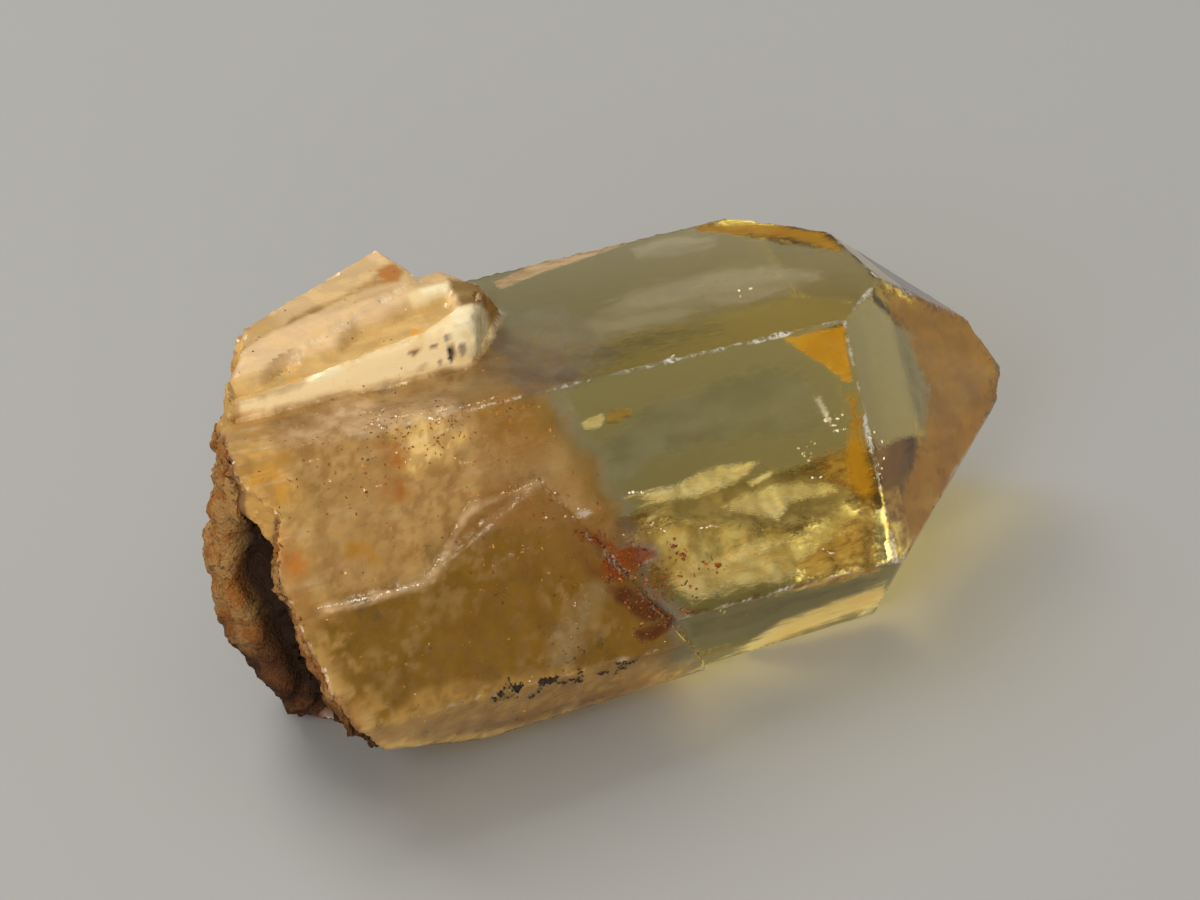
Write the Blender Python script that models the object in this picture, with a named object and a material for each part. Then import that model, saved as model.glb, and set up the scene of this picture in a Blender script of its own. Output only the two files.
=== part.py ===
"""Citrine crystal point, lying on one of its prism faces.

A quartz crystal has six long prism faces, 60 degrees apart round its length, and six
slanted end faces that meet in the tip.  This one grew together with two small side
crystals, a raised slab low on its front, and a rough lump of the rock that it grew on.
All of that is one solid.  The length runs along +X to the tip, +Z is up.
Lengths are in millimetres here, and become metres where a mesh is made.
"""
import math

import bmesh
import bpy
from mathutils import Matrix, Vector, noise

MM = 0.001

# ---- driving dimensions ---------------------------------------------------------------
# A face is (turn round the length, lean towards the tip, distance from the frame's zero).
# Turn 0 faces up, and a positive turn goes towards -Y, the front.
PRISM_FACES = {
    "top": (-1.4, 3.9, 17.18),
    "front upper": (60.0, 3.5, 18.71),
    "front lower": (119.1, -0.1, 11.74),
    "underside": (180.0, 0.0, 0.0),
    "back lower": (240.0, 0.6, 1.35),
    "back upper": (300.1, -1.0, 7.70),
}
TIP_FACES = {
    "top": (1.4, 39.0, 41.30),
    "front upper": (61.4, 36.3, 38.93),
    "front lower": (119.6, 37.3, 36.08),
    "underside": (179.8, 38.0, 30.74),
    "back lower": (240.0, 38.2, 30.24),
    "back upper": (299.8, 38.4, 34.36),
}
START_X = 4.0               # the uncut prism starts here, and the break takes it off later

# The slab low on the front is a second layer of growth, bounded by the same directions.
SLAB_RISE = 0.35            # how far it stands out from the upper front face
SLAB_FOOT = 1.20            # how far it stands out from the lower front face
SLAB_UNDERCUT = (150.0, 0.5, 6.93)      # the worn face along its lower edge
SLAB_TOP_Z = 10.2           # its long upper ledge
SLAB_KNEE_X = 19.3          # where the ledge turns upwards
SLAB_PEAK = (26.4, 12.4)    # x and z of its highest corner
SLAB_END = (31.2, 5.2)      # x and z where its right side meets the lower edge
SLAB_INNER_Y = -8.0         # how far it reaches into the main crystal
SLAB_OUTER_Y = -38.0        # its outline is drawn out to here, past its front face
SLAB_BELOW_Z = -2.0         # and down to here, past the resting face
SLAB_CLEARANCE = 0.05       # it ends this far above the resting face

# The broken end is two tilted breaks: (outward direction, distance).
UPPER_BREAK = ((-0.819, 0.481, -0.314), -20.05)
LOWER_BREAK = ((-0.886, 0.199, -0.419), -18.63)
CORNER_BREAK = ((-0.250, -0.291, -0.924), -2.02)    # the chip off its lower front corner
BREAK_WAVE = (0.66, 0.31)   # height of its slow waves, and how many there are in a millimetre
BREAK_CHIP = (0.33, 0.9)    # the same for its small chips
BREAK_STEP = 0.9            # spacing of the points of the broken surface
BREAK_Y = (-26.0, 14.0)     # it is drawn between these, past the crystal on every side
BREAK_Z = (-6.0, 26.0)
BREAK_OUTER_X = -30.0

# Side crystals: where their middle line passes, which way it points, and their faces.
FRONT_SIDE = {
    "middle": (25.0, -3.5, 13.8),
    "swing": 4.0,
    "rise": 0.0,
    "back_end": -15.0,
    "faces": [
        (0, 0, 3.60), (60, 0, 4.25), (120, 0, 4.0), (180, 0, 3.0), (240, 0, 3.4), (300, 0, 3.60),
        (60, 45, 3.95), (90, 45, 3.25), (0, 50, 4.90), (30, 47, 4.65), (330, 50, 4.60), (150, 40, 4.0),
    ],
}
BACK_SIDE = {
    "middle": (22.0, -1.6, 14.15),
    "swing": 22.0,
    "rise": 1.0,
    "back_end": -13.0,
    "faces": [
        (0, 0, 3.40), (60, 0, 3.20), (120, 0, 3.0), (180, 0, 3.2), (240, 0, 2.9), (300, 0, 3.10),
        (90, 68, 4.35), (45, 70, 4.9), (270, 60, 4.8),
    ],
}

# The rough rock of the root bulges out of the break.
ROOT_BULGE = 4.7            # how far it stands out at most
ROOT_MIDDLE_Z = 5.0         # the height where it does
ROOT_REACH_Z = 12.3         # it fades out this far above and below that
ROOT_FRONT_Y = (-12.2, -8.0)    # it rises between these, behind the crystal's front edge
ROOT_BACK_Y = (-5.0, 6.0)       # and it sinks to this part of its height between these
ROOT_BACK_PART = 0.5
ROOT_FOOT_WEAR = 0.9        # its foot is worn back this far
ROOT_FOOT_HEIGHT = 0.6      # and the wear fades out over this height
ROOT_LUMP = (1.15, 0.42)    # height of its lumps, and how many there are in a millimetre
ROOT_LUMP_MIDDLE = 0.45     # the lumps go up and down from this value of their pattern
ROOT_GRIT = (0.40, 1.3)     # the same for its grit
ROOT_ROUGH_HEIGHT = 2.0     # it is fully rough where it stands out this far
CREVICE_Y = -12.3           # the groove between the root and the crystal's front edge
CREVICE_WIDTH = 1.3
CREVICE_DEPTH = 1.5
CREVICE_TOP_Z = (17.0, 13.0)    # it runs out between these heights

MERGE_DISTANCE = 0.004      # points closer than this are one point
CUBE_HALF_SIZE = 80.0       # every solid is cut from a cube of this half width
SEED_SHIFT = Vector((3.7, 1.9, 8.3))    # where in the noise patterns the roughness is read

CITRINE_COLOUR = (0.74, 0.57, 0.26, 1.0)
CITRINE_ROUGHNESS = 0.12


# ---- small helpers --------------------------------------------------------------------
def clear_scene():
    """Start from an empty scene."""
    for old in list(bpy.data.objects):
        bpy.data.objects.remove(old, do_unlink=True)


def face_direction(turn, lean):
    """Outward direction of a face, from its turn round the length and its lean."""
    turn = math.radians(turn)
    lean = math.radians(lean)
    across = math.cos(lean)
    return Vector((math.sin(lean), -across * math.sin(turn), across * math.cos(turn)))


def cut_shape(shape, planes):
    """Cut away all that lies beyond each plane (direction, distance), and close the cuts."""
    for direction, distance in planes:
        direction = Vector(direction).normalized()
        cut = bmesh.ops.bisect_plane(
            shape,
            geom=shape.verts[:] + shape.edges[:] + shape.faces[:],
            plane_co=direction * distance,
            plane_no=direction,
            clear_outer=True,
        )
        rim = [item for item in cut["geom_cut"] if isinstance(item, bmesh.types.BMEdge)]
        if rim:
            bmesh.ops.contextual_create(shape, geom=rim)
    bmesh.ops.recalc_face_normals(shape, faces=shape.faces[:])


def cut_by_planes(planes):
    """The solid that all the planes enclose, cut from a large cube."""
    shape = bmesh.new()
    bmesh.ops.create_cube(shape, size=2.0 * CUBE_HALF_SIZE)
    cut_shape(shape, planes)
    return shape


def make_object(name, shape):
    """Turn a bmesh in millimetres into an object in metres."""
    bmesh.ops.transform(shape, matrix=Matrix.Scale(MM, 4), verts=shape.verts[:])
    mesh = bpy.data.meshes.new(name)
    shape.to_mesh(mesh)
    shape.free()
    made = bpy.data.objects.new(name, mesh)
    bpy.context.scene.collection.objects.link(made)
    return made


def merge_doubles(piece):
    """Merge doubled points and drop edges and faces of no size."""
    shape = bmesh.new()
    shape.from_mesh(piece.data)
    bmesh.ops.remove_doubles(shape, verts=shape.verts[:], dist=MERGE_DISTANCE * MM)
    bmesh.ops.dissolve_degenerate(shape, dist=MERGE_DISTANCE * MM, edges=shape.edges[:])
    shape.to_mesh(piece.data)
    shape.free()


def combine(base, other, operation):
    """Apply an exact Boolean of other on base, and remove other."""
    modifier = base.modifiers.new("combine", "BOOLEAN")
    modifier.operation = operation
    modifier.solver = "EXACT"
    modifier.object = other
    bpy.context.view_layer.update()
    evaluated = base.evaluated_get(bpy.context.evaluated_depsgraph_get())
    result = bpy.data.meshes.new_from_object(evaluated)
    base.modifiers.remove(modifier)
    base.data = result
    bpy.data.objects.remove(other, do_unlink=True)
    merge_doubles(base)


# ---- the pieces of growth -------------------------------------------------------------
def main_crystal():
    """The six-sided prism with its six-faced tip."""
    planes = [(Vector((-1, 0, 0)), -START_X)]
    for turn, lean, distance in PRISM_FACES.values():
        planes.append((face_direction(turn, lean), distance))
    for turn, lean, distance in TIP_FACES.values():
        planes.append((face_direction(turn, lean), distance))
    return make_object("main_crystal", cut_by_planes(planes))


def front_slab():
    """The raised slab: its outline seen from the front, cut by its own crystal faces."""
    (peak_x, peak_z), (end_x, end_z) = SLAB_PEAK, SLAB_END
    foot_x = end_x + (end_x - peak_x) * (end_z - SLAB_BELOW_Z) / (peak_z - end_z)
    outline = [
        (START_X, SLAB_BELOW_Z),
        (foot_x, SLAB_BELOW_Z),
        (peak_x, peak_z),
        (SLAB_KNEE_X, SLAB_TOP_Z),
        (START_X, SLAB_TOP_Z),
    ]
    shape = bmesh.new()
    side = shape.faces.new([shape.verts.new((x, SLAB_INNER_Y, z)) for x, z in outline])
    pushed = bmesh.ops.extrude_face_region(shape, geom=[side])
    moved = [item for item in pushed["geom"] if isinstance(item, bmesh.types.BMVert)]
    bmesh.ops.translate(shape, verts=moved, vec=(0.0, SLAB_OUTER_Y - SLAB_INNER_Y, 0.0))
    turn, lean, distance = PRISM_FACES["front upper"]
    foot_turn, foot_lean, foot_distance = PRISM_FACES["front lower"]
    cut_shape(shape, [
        (face_direction(turn, lean), distance + SLAB_RISE),
        (face_direction(foot_turn, foot_lean), foot_distance + SLAB_FOOT),
        (face_direction(*SLAB_UNDERCUT[:2]), SLAB_UNDERCUT[2]),
        (Vector((0, 0, -1)), -SLAB_CLEARANCE),
    ])
    return make_object("front_slab", shape)


def side_crystal(name, sizes):
    """A small crystal that lies along the top of the main one."""
    planes = [(Vector((-1, 0, 0)), -sizes["back_end"])]
    for turn, lean, distance in sizes["faces"]:
        planes.append((face_direction(turn, lean), distance))
    shape = cut_by_planes(planes)
    place = Matrix.Translation(Vector(sizes["middle"]))
    place @= Matrix.Rotation(math.radians(sizes["swing"]), 4, "Z")
    place @= Matrix.Rotation(-math.radians(sizes["rise"]), 4, "Y")
    bmesh.ops.transform(shape, matrix=place, verts=shape.verts[:])
    return make_object(name, shape)


def smooth_step(low, high, value):
    """0 below low, 1 above high, and a smooth rise between them."""
    part = min(max((value - low) / (high - low), 0.0), 1.0)
    return part * part * (3.0 - 2.0 * part)


def root_height(y, z):
    """How far the rough rock stands out of the break."""
    upright = max(0.0, 1.0 - ((z - ROOT_MIDDLE_Z) / ROOT_REACH_Z) ** 2)
    behind = 1.0 - (1.0 - ROOT_BACK_PART) * smooth_step(*ROOT_BACK_Y, y)
    across = smooth_step(*ROOT_FRONT_Y, y) * behind
    worn = ROOT_FOOT_WEAR * math.exp(-max(z, 0.0) / ROOT_FOOT_HEIGHT)
    return across * (ROOT_BULGE * upright - worn)


def waves(place, sizes):
    """Rounded noise from -1 to 1 times a height, from (height, waves in a millimetre)."""
    height, closeness = sizes
    return height * noise.noise(closeness * place)


def root_lumps(place):
    """Rounded lumps with creases between them, and grit on top."""
    height, closeness = ROOT_LUMP
    lumps = noise.voronoi(closeness * place)[0][0] - ROOT_LUMP_MIDDLE
    return height * lumps + waves(place, ROOT_GRIT)


def break_x(y, z):
    """Where the broken surface lies, at a place across the crystal."""
    depths = []
    for (nx, ny, nz), distance in (UPPER_BREAK, LOWER_BREAK):
        depths.append((distance - ny * y - nz * z) / nx)
    place = Vector((y, z, 0.0)) + SEED_SHIFT
    height = root_height(y, z)
    rough = max(0.0, min(height / ROOT_ROUGH_HEIGHT, 1.0))
    in_groove = math.exp(-((y - CREVICE_Y) / CREVICE_WIDTH) ** 2)
    crevice = CREVICE_DEPTH * in_groove * smooth_step(*CREVICE_TOP_Z, z)
    broken = max(depths) + waves(place, BREAK_WAVE) + waves(place, BREAK_CHIP)
    return broken - height + rough * root_lumps(place) + crevice


def break_cutter():
    """A block whose one side is the rough broken surface."""
    (y_low, y_high), (z_low, z_high) = BREAK_Y, BREAK_Z
    columns = int((y_high - y_low) / BREAK_STEP)
    rows = int((z_high - z_low) / BREAK_STEP)
    shape = bmesh.new()
    near = []
    far = []
    for row in range(rows + 1):
        z = z_low + (z_high - z_low) * row / rows
        for column in range(columns + 1):
            y = y_low + (y_high - y_low) * column / columns
            near.append(shape.verts.new((break_x(y, z), y, z)))
            far.append(shape.verts.new((BREAK_OUTER_X, y, z)))
    width = columns + 1
    for row in range(rows):
        for column in range(columns):
            a = row * width + column
            corners = (a, a + 1, a + 1 + width, a + width)
            shape.faces.new([near[i] for i in corners])
            shape.faces.new([far[i] for i in reversed(corners)])
    for column in range(columns):
        for start in (column, rows * width + column):
            shape.faces.new((near[start], near[start + 1], far[start + 1], far[start]))
    for row in range(rows):
        for start in (row * width, row * width + columns):
            shape.faces.new((near[start], near[start + width], far[start + width], far[start]))
    bmesh.ops.recalc_face_normals(shape, faces=shape.faces[:])
    bmesh.ops.triangulate(shape, faces=shape.faces[:])
    return make_object("break_cutter", shape)


def corner_cutter():
    """A block whose one side is the break across the lower front corner."""
    direction, distance = CORNER_BREAK
    inward = -Vector(direction).normalized()
    return make_object("corner_cutter", cut_by_planes([(inward, -distance)]))


# ---- finishing ------------------------------------------------------------------------
def triangulate(piece):
    """Leave only triangles, facing outwards."""
    shape = bmesh.new()
    shape.from_mesh(piece.data)
    bmesh.ops.triangulate(shape, faces=shape.faces[:])
    bmesh.ops.recalc_face_normals(shape, faces=shape.faces[:])
    shape.to_mesh(piece.data)
    shape.free()


def centre_on_floor(piece):
    """Move the mesh so that the middle of its box's underside is the origin."""
    places = [corner.co.copy() for corner in piece.data.vertices]
    low = Vector([min(place[axis] for place in places) for axis in range(3)])
    high = Vector([max(place[axis] for place in places) for axis in range(3)])
    middle = (low + high) / 2.0
    piece.data.transform(Matrix.Translation((-middle.x, -middle.y, -low.z)))
    print("box in mm before centring:", [round(v / MM, 2) for v in (*low, *high)])


def citrine_material():
    """Honey-yellow quartz."""
    material = bpy.data.materials.new("citrine")
    material.use_nodes = True
    shader = material.node_tree.nodes["Principled BSDF"]
    shader.inputs["Base Color"].default_value = CITRINE_COLOUR
    shader.inputs["Roughness"].default_value = CITRINE_ROUGHNESS
    shader.inputs["Metallic"].default_value = 0.0
    return material


def build():
    """Grow the pieces together, break the end off and set the result on the floor."""
    clear_scene()
    crystal = main_crystal()
    crystal.name = "citrine_crystal"
    combine(crystal, front_slab(), "UNION")
    combine(crystal, side_crystal("back_side_crystal", BACK_SIDE), "UNION")
    combine(crystal, side_crystal("front_side_crystal", FRONT_SIDE), "UNION")
    combine(crystal, break_cutter(), "DIFFERENCE")
    combine(crystal, corner_cutter(), "DIFFERENCE")
    triangulate(crystal)
    centre_on_floor(crystal)
    crystal.data.materials.clear()
    crystal.data.materials.append(citrine_material())
    return crystal


build()
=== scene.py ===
# %% [markdown]
# # A citrine crystal point
# This lesson finishes a natural yellow quartz crystal.  The solid already has its true
# faces, its two small side crystals, the raised slab on its front and its broken end.  What
# is left is what makes it a real stone: chipped edges, a cloudy half, a clear half, veils
# and rust sealed inside, and the rough rock of its root.
#
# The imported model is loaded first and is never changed.  Everything is made around it.

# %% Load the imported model
import math
import random

import bmesh
import bpy
import numpy as np
from mathutils import Matrix, Vector, kdtree, noise
from mathutils.bvhtree import BVHTree


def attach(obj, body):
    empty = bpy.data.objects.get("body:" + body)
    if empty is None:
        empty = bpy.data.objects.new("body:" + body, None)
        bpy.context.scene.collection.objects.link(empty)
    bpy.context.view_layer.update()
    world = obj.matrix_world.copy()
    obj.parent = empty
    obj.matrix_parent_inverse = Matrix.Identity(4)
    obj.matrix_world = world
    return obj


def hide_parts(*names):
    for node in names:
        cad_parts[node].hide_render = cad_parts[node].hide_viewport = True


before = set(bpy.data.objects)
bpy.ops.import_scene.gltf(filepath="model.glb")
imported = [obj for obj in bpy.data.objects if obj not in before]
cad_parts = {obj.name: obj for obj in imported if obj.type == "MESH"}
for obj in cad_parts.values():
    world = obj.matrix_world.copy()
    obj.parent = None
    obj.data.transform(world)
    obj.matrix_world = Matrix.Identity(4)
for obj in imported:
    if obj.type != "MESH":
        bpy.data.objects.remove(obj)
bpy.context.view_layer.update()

MM = 0.001

# %% [markdown]
# ## The camera
# The crystal is looked at from its front left and from above.  The camera stands about
# 28 cm away with a long lens, so that the long edges hardly converge.

# %% Camera
AIM = Vector((-2.96, -3.71, 11.03))     # the middle of the picture, in mm
LOOK_TURN = math.radians(-29.34)        # how far the camera stands to the left of the front
LOOK_HEIGHT = math.radians(30.88)       # and how far above
LOOK_DISTANCE = 281.25
LENS = 182.8
SENSOR = 36.0
PICTURE = (1200, 900)
CLIP_START = 0.01           # in metres

to_camera = Vector((
    math.sin(LOOK_TURN) * math.cos(LOOK_HEIGHT),
    -math.cos(LOOK_TURN) * math.cos(LOOK_HEIGHT),
    math.sin(LOOK_HEIGHT),
))
camera_place = AIM + LOOK_DISTANCE * to_camera
camera_turn = (-to_camera).to_track_quat("-Z", "Y")
camera_data = bpy.data.cameras.new("camera")
camera_data.lens = LENS
camera_data.sensor_width = SENSOR
camera_data.clip_start = CLIP_START
camera = bpy.data.objects.new("camera", camera_data)
camera.location = camera_place * MM
camera.rotation_euler = camera_turn.to_euler()
bpy.context.scene.collection.objects.link(camera)
bpy.context.scene.camera = camera


def sight(x, y):
    """The direction from the camera through a point of the 1200 by 900 picture."""
    across = (x - PICTURE[0] / 2) / PICTURE[0] * SENSOR / LENS
    upwards = (PICTURE[1] / 2 - y) / PICTURE[0] * SENSOR / LENS
    return (camera_turn @ Vector((across, upwards, -1.0))).normalized()


def picture_of(points):
    """Where points given in mm appear in the 1200 by 900 picture."""
    right, upwards, back = (np.array(camera_turn @ Vector(axis)) for axis in np.eye(3))
    seen = points - np.array(camera_place)
    scale = PICTURE[0] * LENS / SENSOR / -(seen @ back)
    return np.column_stack((
        PICTURE[0] / 2 + scale * (seen @ right),
        PICTURE[1] / 2 - scale * (seen @ upwards),
    ))


print("camera stands at, in mm:", [round(v, 1) for v in camera_place])

# %% [markdown]
# ## Floor and light
# A clear stone shows its surroundings, so they are kept plain: a pale floor, a soft grey
# dome that is dimmed beyond the tip, a large soft light from behind and above, and two
# weaker ones from the left and from low in front.

# %% Floor and light
FLOOR_SIZE = 3.0
FLOOR_DROP = 0.02           # the floor lies this far under the stone, in mm
FLOOR_COLOUR = (0.38, 0.38, 0.375, 1.0)
FLOOR_ROUGHNESS = 0.75
DOME_TOP = (0.86, 0.85, 0.82, 1.0)
DOME_SIDE = (0.24, 0.235, 0.22, 1.0)
DOME_RISE = (0.0, 0.9)      # from side to top the dome gets lighter between these heights
DOME_STRENGTH = 0.64
DOME_DIMMED = 0.4           # beyond the stone's tip it is dimmed to this share
DOME_DIMMING = (-0.1, 0.8)  # between these places along x
SOFT_WHITE = (1.0, 0.97, 0.93)
WARM_WHITE = (1.0, 0.94, 0.85)
SOFTBOXES = {
    # place in metres, size, power, colour
    "back_softbox": ((-0.12, 0.42, 0.50), 0.34, 2.7, SOFT_WHITE),
    "left_softbox": ((-0.50, -0.34, 0.34), 0.30, 2.3, WARM_WHITE),
    "front_softbox": ((-0.28, -0.58, 0.10), 0.30, 1.6, WARM_WHITE),
}
BOUNCES = {
    # light is mirrored many times inside the stone
    "max_bounces": 12,
    "transmission_bounces": 12,
    "glossy_bounces": 8,
    "diffuse_bounces": 3,
    "transparent_max_bounces": 16,
}


def add_node(tree, kind, links=None, **settings):
    """Add a node, set its options and fill its sockets with values or links."""
    node = tree.nodes.new(kind)
    for name, value in settings.items():
        setattr(node, name, value)
    for name, value in (links or {}).items():
        socket = node.inputs[name]
        if isinstance(value, bpy.types.NodeSocket):
            tree.links.new(value, socket)
        else:
            socket.default_value = value
    return node


def put(tree, kind, links=None, **settings):
    """Add a shader node."""
    return add_node(tree, "ShaderNode" + kind, links, **settings)


def new_material(name):
    """An empty node material and its tree."""
    material = bpy.data.materials.new(name)
    material.use_nodes = True
    material.node_tree.nodes.clear()
    return material, material.node_tree


def make_floor():
    """A wide pale sheet just under the stone."""
    shape = bmesh.new()
    bmesh.ops.create_grid(shape, x_segments=1, y_segments=1, size=FLOOR_SIZE / 2)
    mesh = bpy.data.meshes.new("floor")
    shape.to_mesh(mesh)
    shape.free()
    floor = bpy.data.objects.new("floor", mesh)
    floor.location.z = -FLOOR_DROP * MM
    bpy.context.scene.collection.objects.link(floor)
    material, tree = new_material("floor_paper")
    paper = put(tree, "BsdfPrincipled", {"Base Color": FLOOR_COLOUR, "Roughness": FLOOR_ROUGHNESS})
    put(tree, "OutputMaterial", {"Surface": paper.outputs[0]})
    mesh.materials.append(material)


def make_dome():
    """A soft dome, light above, darker round the sides and dimmed beyond the tip."""
    world = bpy.data.worlds.new("studio")
    bpy.context.scene.world = world
    world.use_nodes = True
    tree = world.node_tree
    tree.nodes.clear()
    place = put(tree, "TexCoord").outputs["Generated"]
    height = put(tree, "SeparateXYZ", {"Vector": place}).outputs["Z"]
    rise = put(tree, "MapRange", {"Value": height, "From Min": DOME_RISE[0], "From Max": DOME_RISE[1]})
    sky = put(tree, "Mix", {0: rise.outputs[0], 6: DOME_SIDE, 7: DOME_TOP}, data_type="RGBA")
    across = put(tree, "SeparateXYZ", {"Vector": place}).outputs["X"]
    strength = put(tree, "MapRange", {
        "Value": across, "From Min": DOME_DIMMING[0], "From Max": DOME_DIMMING[1],
        "To Min": DOME_STRENGTH, "To Max": DOME_DIMMED * DOME_STRENGTH,
    })
    shine = put(tree, "Background", {"Color": sky.outputs[2], "Strength": strength.outputs[0]})
    put(tree, "OutputWorld", {"Surface": shine.outputs[0]})


def make_softbox(name, place, size, power, colour):
    """A square soft light at a place in metres, aimed at the stone."""
    light = bpy.data.lights.new(name, "AREA")
    light.shape = "SQUARE"
    light.size = size
    light.energy = power
    light.color = colour
    lamp = bpy.data.objects.new(name, light)
    lamp.location = place
    lamp.rotation_euler = (AIM * MM - Vector(place)).to_track_quat("-Z", "Y").to_euler()
    bpy.context.scene.collection.objects.link(lamp)


make_floor()
make_dome()
for box_name, box in SOFTBOXES.items():
    make_softbox(box_name, *box)
bpy.context.scene.view_settings.view_transform = "Standard"
for limit_name, limit in BOUNCES.items():
    setattr(bpy.context.scene.cycles, limit_name, limit)
print("the floor is", FLOOR_SIZE, "m wide")

# %% [markdown]
# ## The stone's own skin
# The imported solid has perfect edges, and a crystal that has lain in the ground has not.
# Its outline could be bevelled, but a bevel is as even as a machine's.  Here the solid is
# rebuilt from small cubes instead (a voxel remesh), and each point is then put back on the
# nearest face of the solid.  The large faces stay perfectly flat, and every edge is cut by
# little uneven chips, which noise then deepens.

# %% Read the solid's faces
MERGE_REACH = 0.001         # points closer than this are one, in mm
FACET_AREA = 1.2            # a flat face larger than this is a crystal face
SAME_DIRECTION = 0.01       # triangles of one face have normals this much alike
SAME_PLANE = 0.06           # and lie in one plane to within this many mm
UPWARDS = 0.9               # the top face's normal rises more than this
SHARP_TURN = math.radians(18.0)


def solid_copy():
    """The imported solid's mesh in millimetres, with its doubled points merged."""
    shape = bmesh.new()
    shape.from_mesh(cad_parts["citrine_crystal"].data)
    bmesh.ops.scale(shape, vec=(1 / MM,) * 3, verts=shape.verts)
    bmesh.ops.remove_doubles(shape, verts=shape.verts, dist=MERGE_REACH)
    shape.normal_update()
    shape.faces.ensure_lookup_table()
    return shape


def in_plane(group, normal, distance):
    """Whether a triangle lies in the plane of a group of triangles."""
    turned = (group["normal"] - normal).length
    return turned < SAME_DIRECTION and abs(group["distance"] - distance) < SAME_PLANE


def sort_facets(shape):
    """Give each triangle the number of the crystal face it lies in, or -1 on the break."""
    groups = []
    member = []
    for face in shape.faces:
        distance = face.normal.dot(face.verts[0].co)
        for number, group in enumerate(groups):
            if in_plane(group, face.normal, distance):
                break
        else:
            groups.append({"normal": face.normal.copy(), "distance": distance, "area": 0.0})
            number = len(groups) - 1
        groups[number]["area"] += face.calc_area()
        member.append(number)
    return groups, [number if groups[number]["area"] > FACET_AREA else -1 for number in member]


solid = solid_copy()
facets, facet_of = sort_facets(solid)
top_face = max((g for g in facets if g["normal"].z > UPWARDS), key=lambda g: g["area"])
print("crystal faces:", len(set(facet_of)) - 1, " triangles on the break:", facet_of.count(-1))

# %% Mesh helpers


def link_mesh(name, mesh):
    """Put a mesh in the scene as an object."""
    made = bpy.data.objects.new(name, mesh)
    bpy.context.scene.collection.objects.link(made)
    return made


def applied(piece):
    """The mesh of an object with its modifiers applied; the object itself is removed."""
    bpy.context.view_layer.update()
    evaluated = piece.evaluated_get(bpy.context.evaluated_depsgraph_get())
    mesh = bpy.data.meshes.new_from_object(evaluated)
    bpy.data.objects.remove(piece, do_unlink=True)
    return mesh


def remeshed(shape, grain):
    """A copy of the shape made of small squares."""
    mesh = bpy.data.meshes.new("rebuilt")
    shape.to_mesh(mesh)
    piece = link_mesh("rebuilt", mesh)
    remesh = piece.modifiers.new("cubes", "REMESH")
    remesh.mode = "VOXEL"
    remesh.voxel_size = grain
    return applied(piece)


def points_of(mesh):
    """All points of a mesh as an array."""
    flat = np.empty(len(mesh.vertices) * 3, np.float32)
    mesh.vertices.foreach_get("co", flat)
    return flat.reshape(-1, 3).astype(float)


def normals_of(mesh):
    """All point normals of a mesh as an array."""
    flat = np.empty(len(mesh.vertices) * 3, np.float32)
    mesh.vertex_normals.foreach_get("vector", flat)
    return flat.reshape(-1, 3).astype(float)


def move_points(mesh, points):
    """Put a mesh's points at new places."""
    mesh.vertices.foreach_set("co", points.astype(np.float32).ravel())
    mesh.update()


# %% Rebuild the skin from small cubes
GRAIN = 0.2                 # size of the small cubes, in mm

tree_of_faces = BVHTree.FromBMesh(solid)
skin = remeshed(solid, GRAIN)
nearest = [tree_of_faces.find_nearest(point) for point in points_of(skin)]
places = np.array([hit[0][:] for hit in nearest])
move_points(skin, places)
facet_numbers = np.array(facet_of)[[hit[2] for hit in nearest]]
print("points in the skin:", len(places))

# %% [markdown]
# ### Kinds of noise
# Nothing in a grown stone is even, so nearly every step adds some noise.  All kinds stand
# in one table: how close the waves lie, how many finer layers are added, and a shift that
# keeps two kinds from looking alike.  Where spots are wanted, the noise is cut off softly.

# %% Kinds of noise
NOISES = {
    # waves in a millimetre, layers, shift
    "cloud end": (0.22, 3, 4.0),
    "outline": (1.1, 3, 50.0),
    "rock top": (0.45, 3, 30.0),
    "mottle": (0.35, 5, 60.0),
    "speckle": (1.7, 3, 33.0),
    "small chips": (2.3, 2, 1.0),
    "large chips": (0.45, 2, 9.0),
    "grooves": (1.3, 3, 2.0),
    "break": (1.4, 4, 6.0),
    "cloud lumps": (0.35, 3, 0.0),
    "rock grain": (1.5, 3, 7.0),
    "rock tone": (0.4, 3, 40.0),
    "speck clusters": (0.8, 3, 70.0),
    "crumb clusters": (1.6, 3, 75.0),
    "scratched places": (0.5, 3, 90.0),
}
SPOT_RANGES = {
    # noise value where the spots of a kind begin, and where they are full
    "mottle": (-0.45, 0.45),
    "speckle": (-0.25, 0.15),
    "large chips": (0.25, 0.75),
    "speck clusters": (-0.1, 0.4),
    "crumb clusters": (-0.2, 0.3),
    "scratched places": (0.15, 0.5),
}
SHIFT_WAY = (1.0, 0.7, 1.3)
LAYER_FALL = 0.8            # how much weaker each layer is
LAYER_STEP = 2.0            # and how much finer


def smooth_step(low, high, value):
    """0 below low, 1 above high, and a smooth rise between, for arrays too."""
    part = np.clip((value - low) / (high - low), 0.0, 1.0)
    return part * part * (3.0 - 2.0 * part)


def read_noise(points, name, more_shift=0.0):
    """Rounded noise of a kind at each point, about -1 to 1."""
    closeness, layers, shift = NOISES[name]
    move = Vector([(shift + more_shift) * way for way in SHIFT_WAY])
    shifted = (Vector(point) * closeness + move for point in points)
    return np.array([noise.fractal(place, LAYER_FALL, LAYER_STEP, layers) for place in shifted])


def spots(points, name):
    """Soft spots of a kind, 0 to 1."""
    return smooth_step(*SPOT_RANGES[name], read_noise(points, name))


mottle = spots(places, "mottle")
print("share of the skin that is mottled:", round(mottle.mean(), 2))

# %% [markdown]
# ### Where the stone is what
# The rest of the work asks the same questions at every point of the skin.  Is it on the
# break, on a side crystal, or near an edge?  Is the quartz under it cloudy?  The answers are
# numbers from 0 to 1, kept as attributes of the mesh, which the material reads as well.

# %% Mask helpers
EDGE_STEP = 0.1                 # mm between the points that mark a sharp edge


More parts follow.
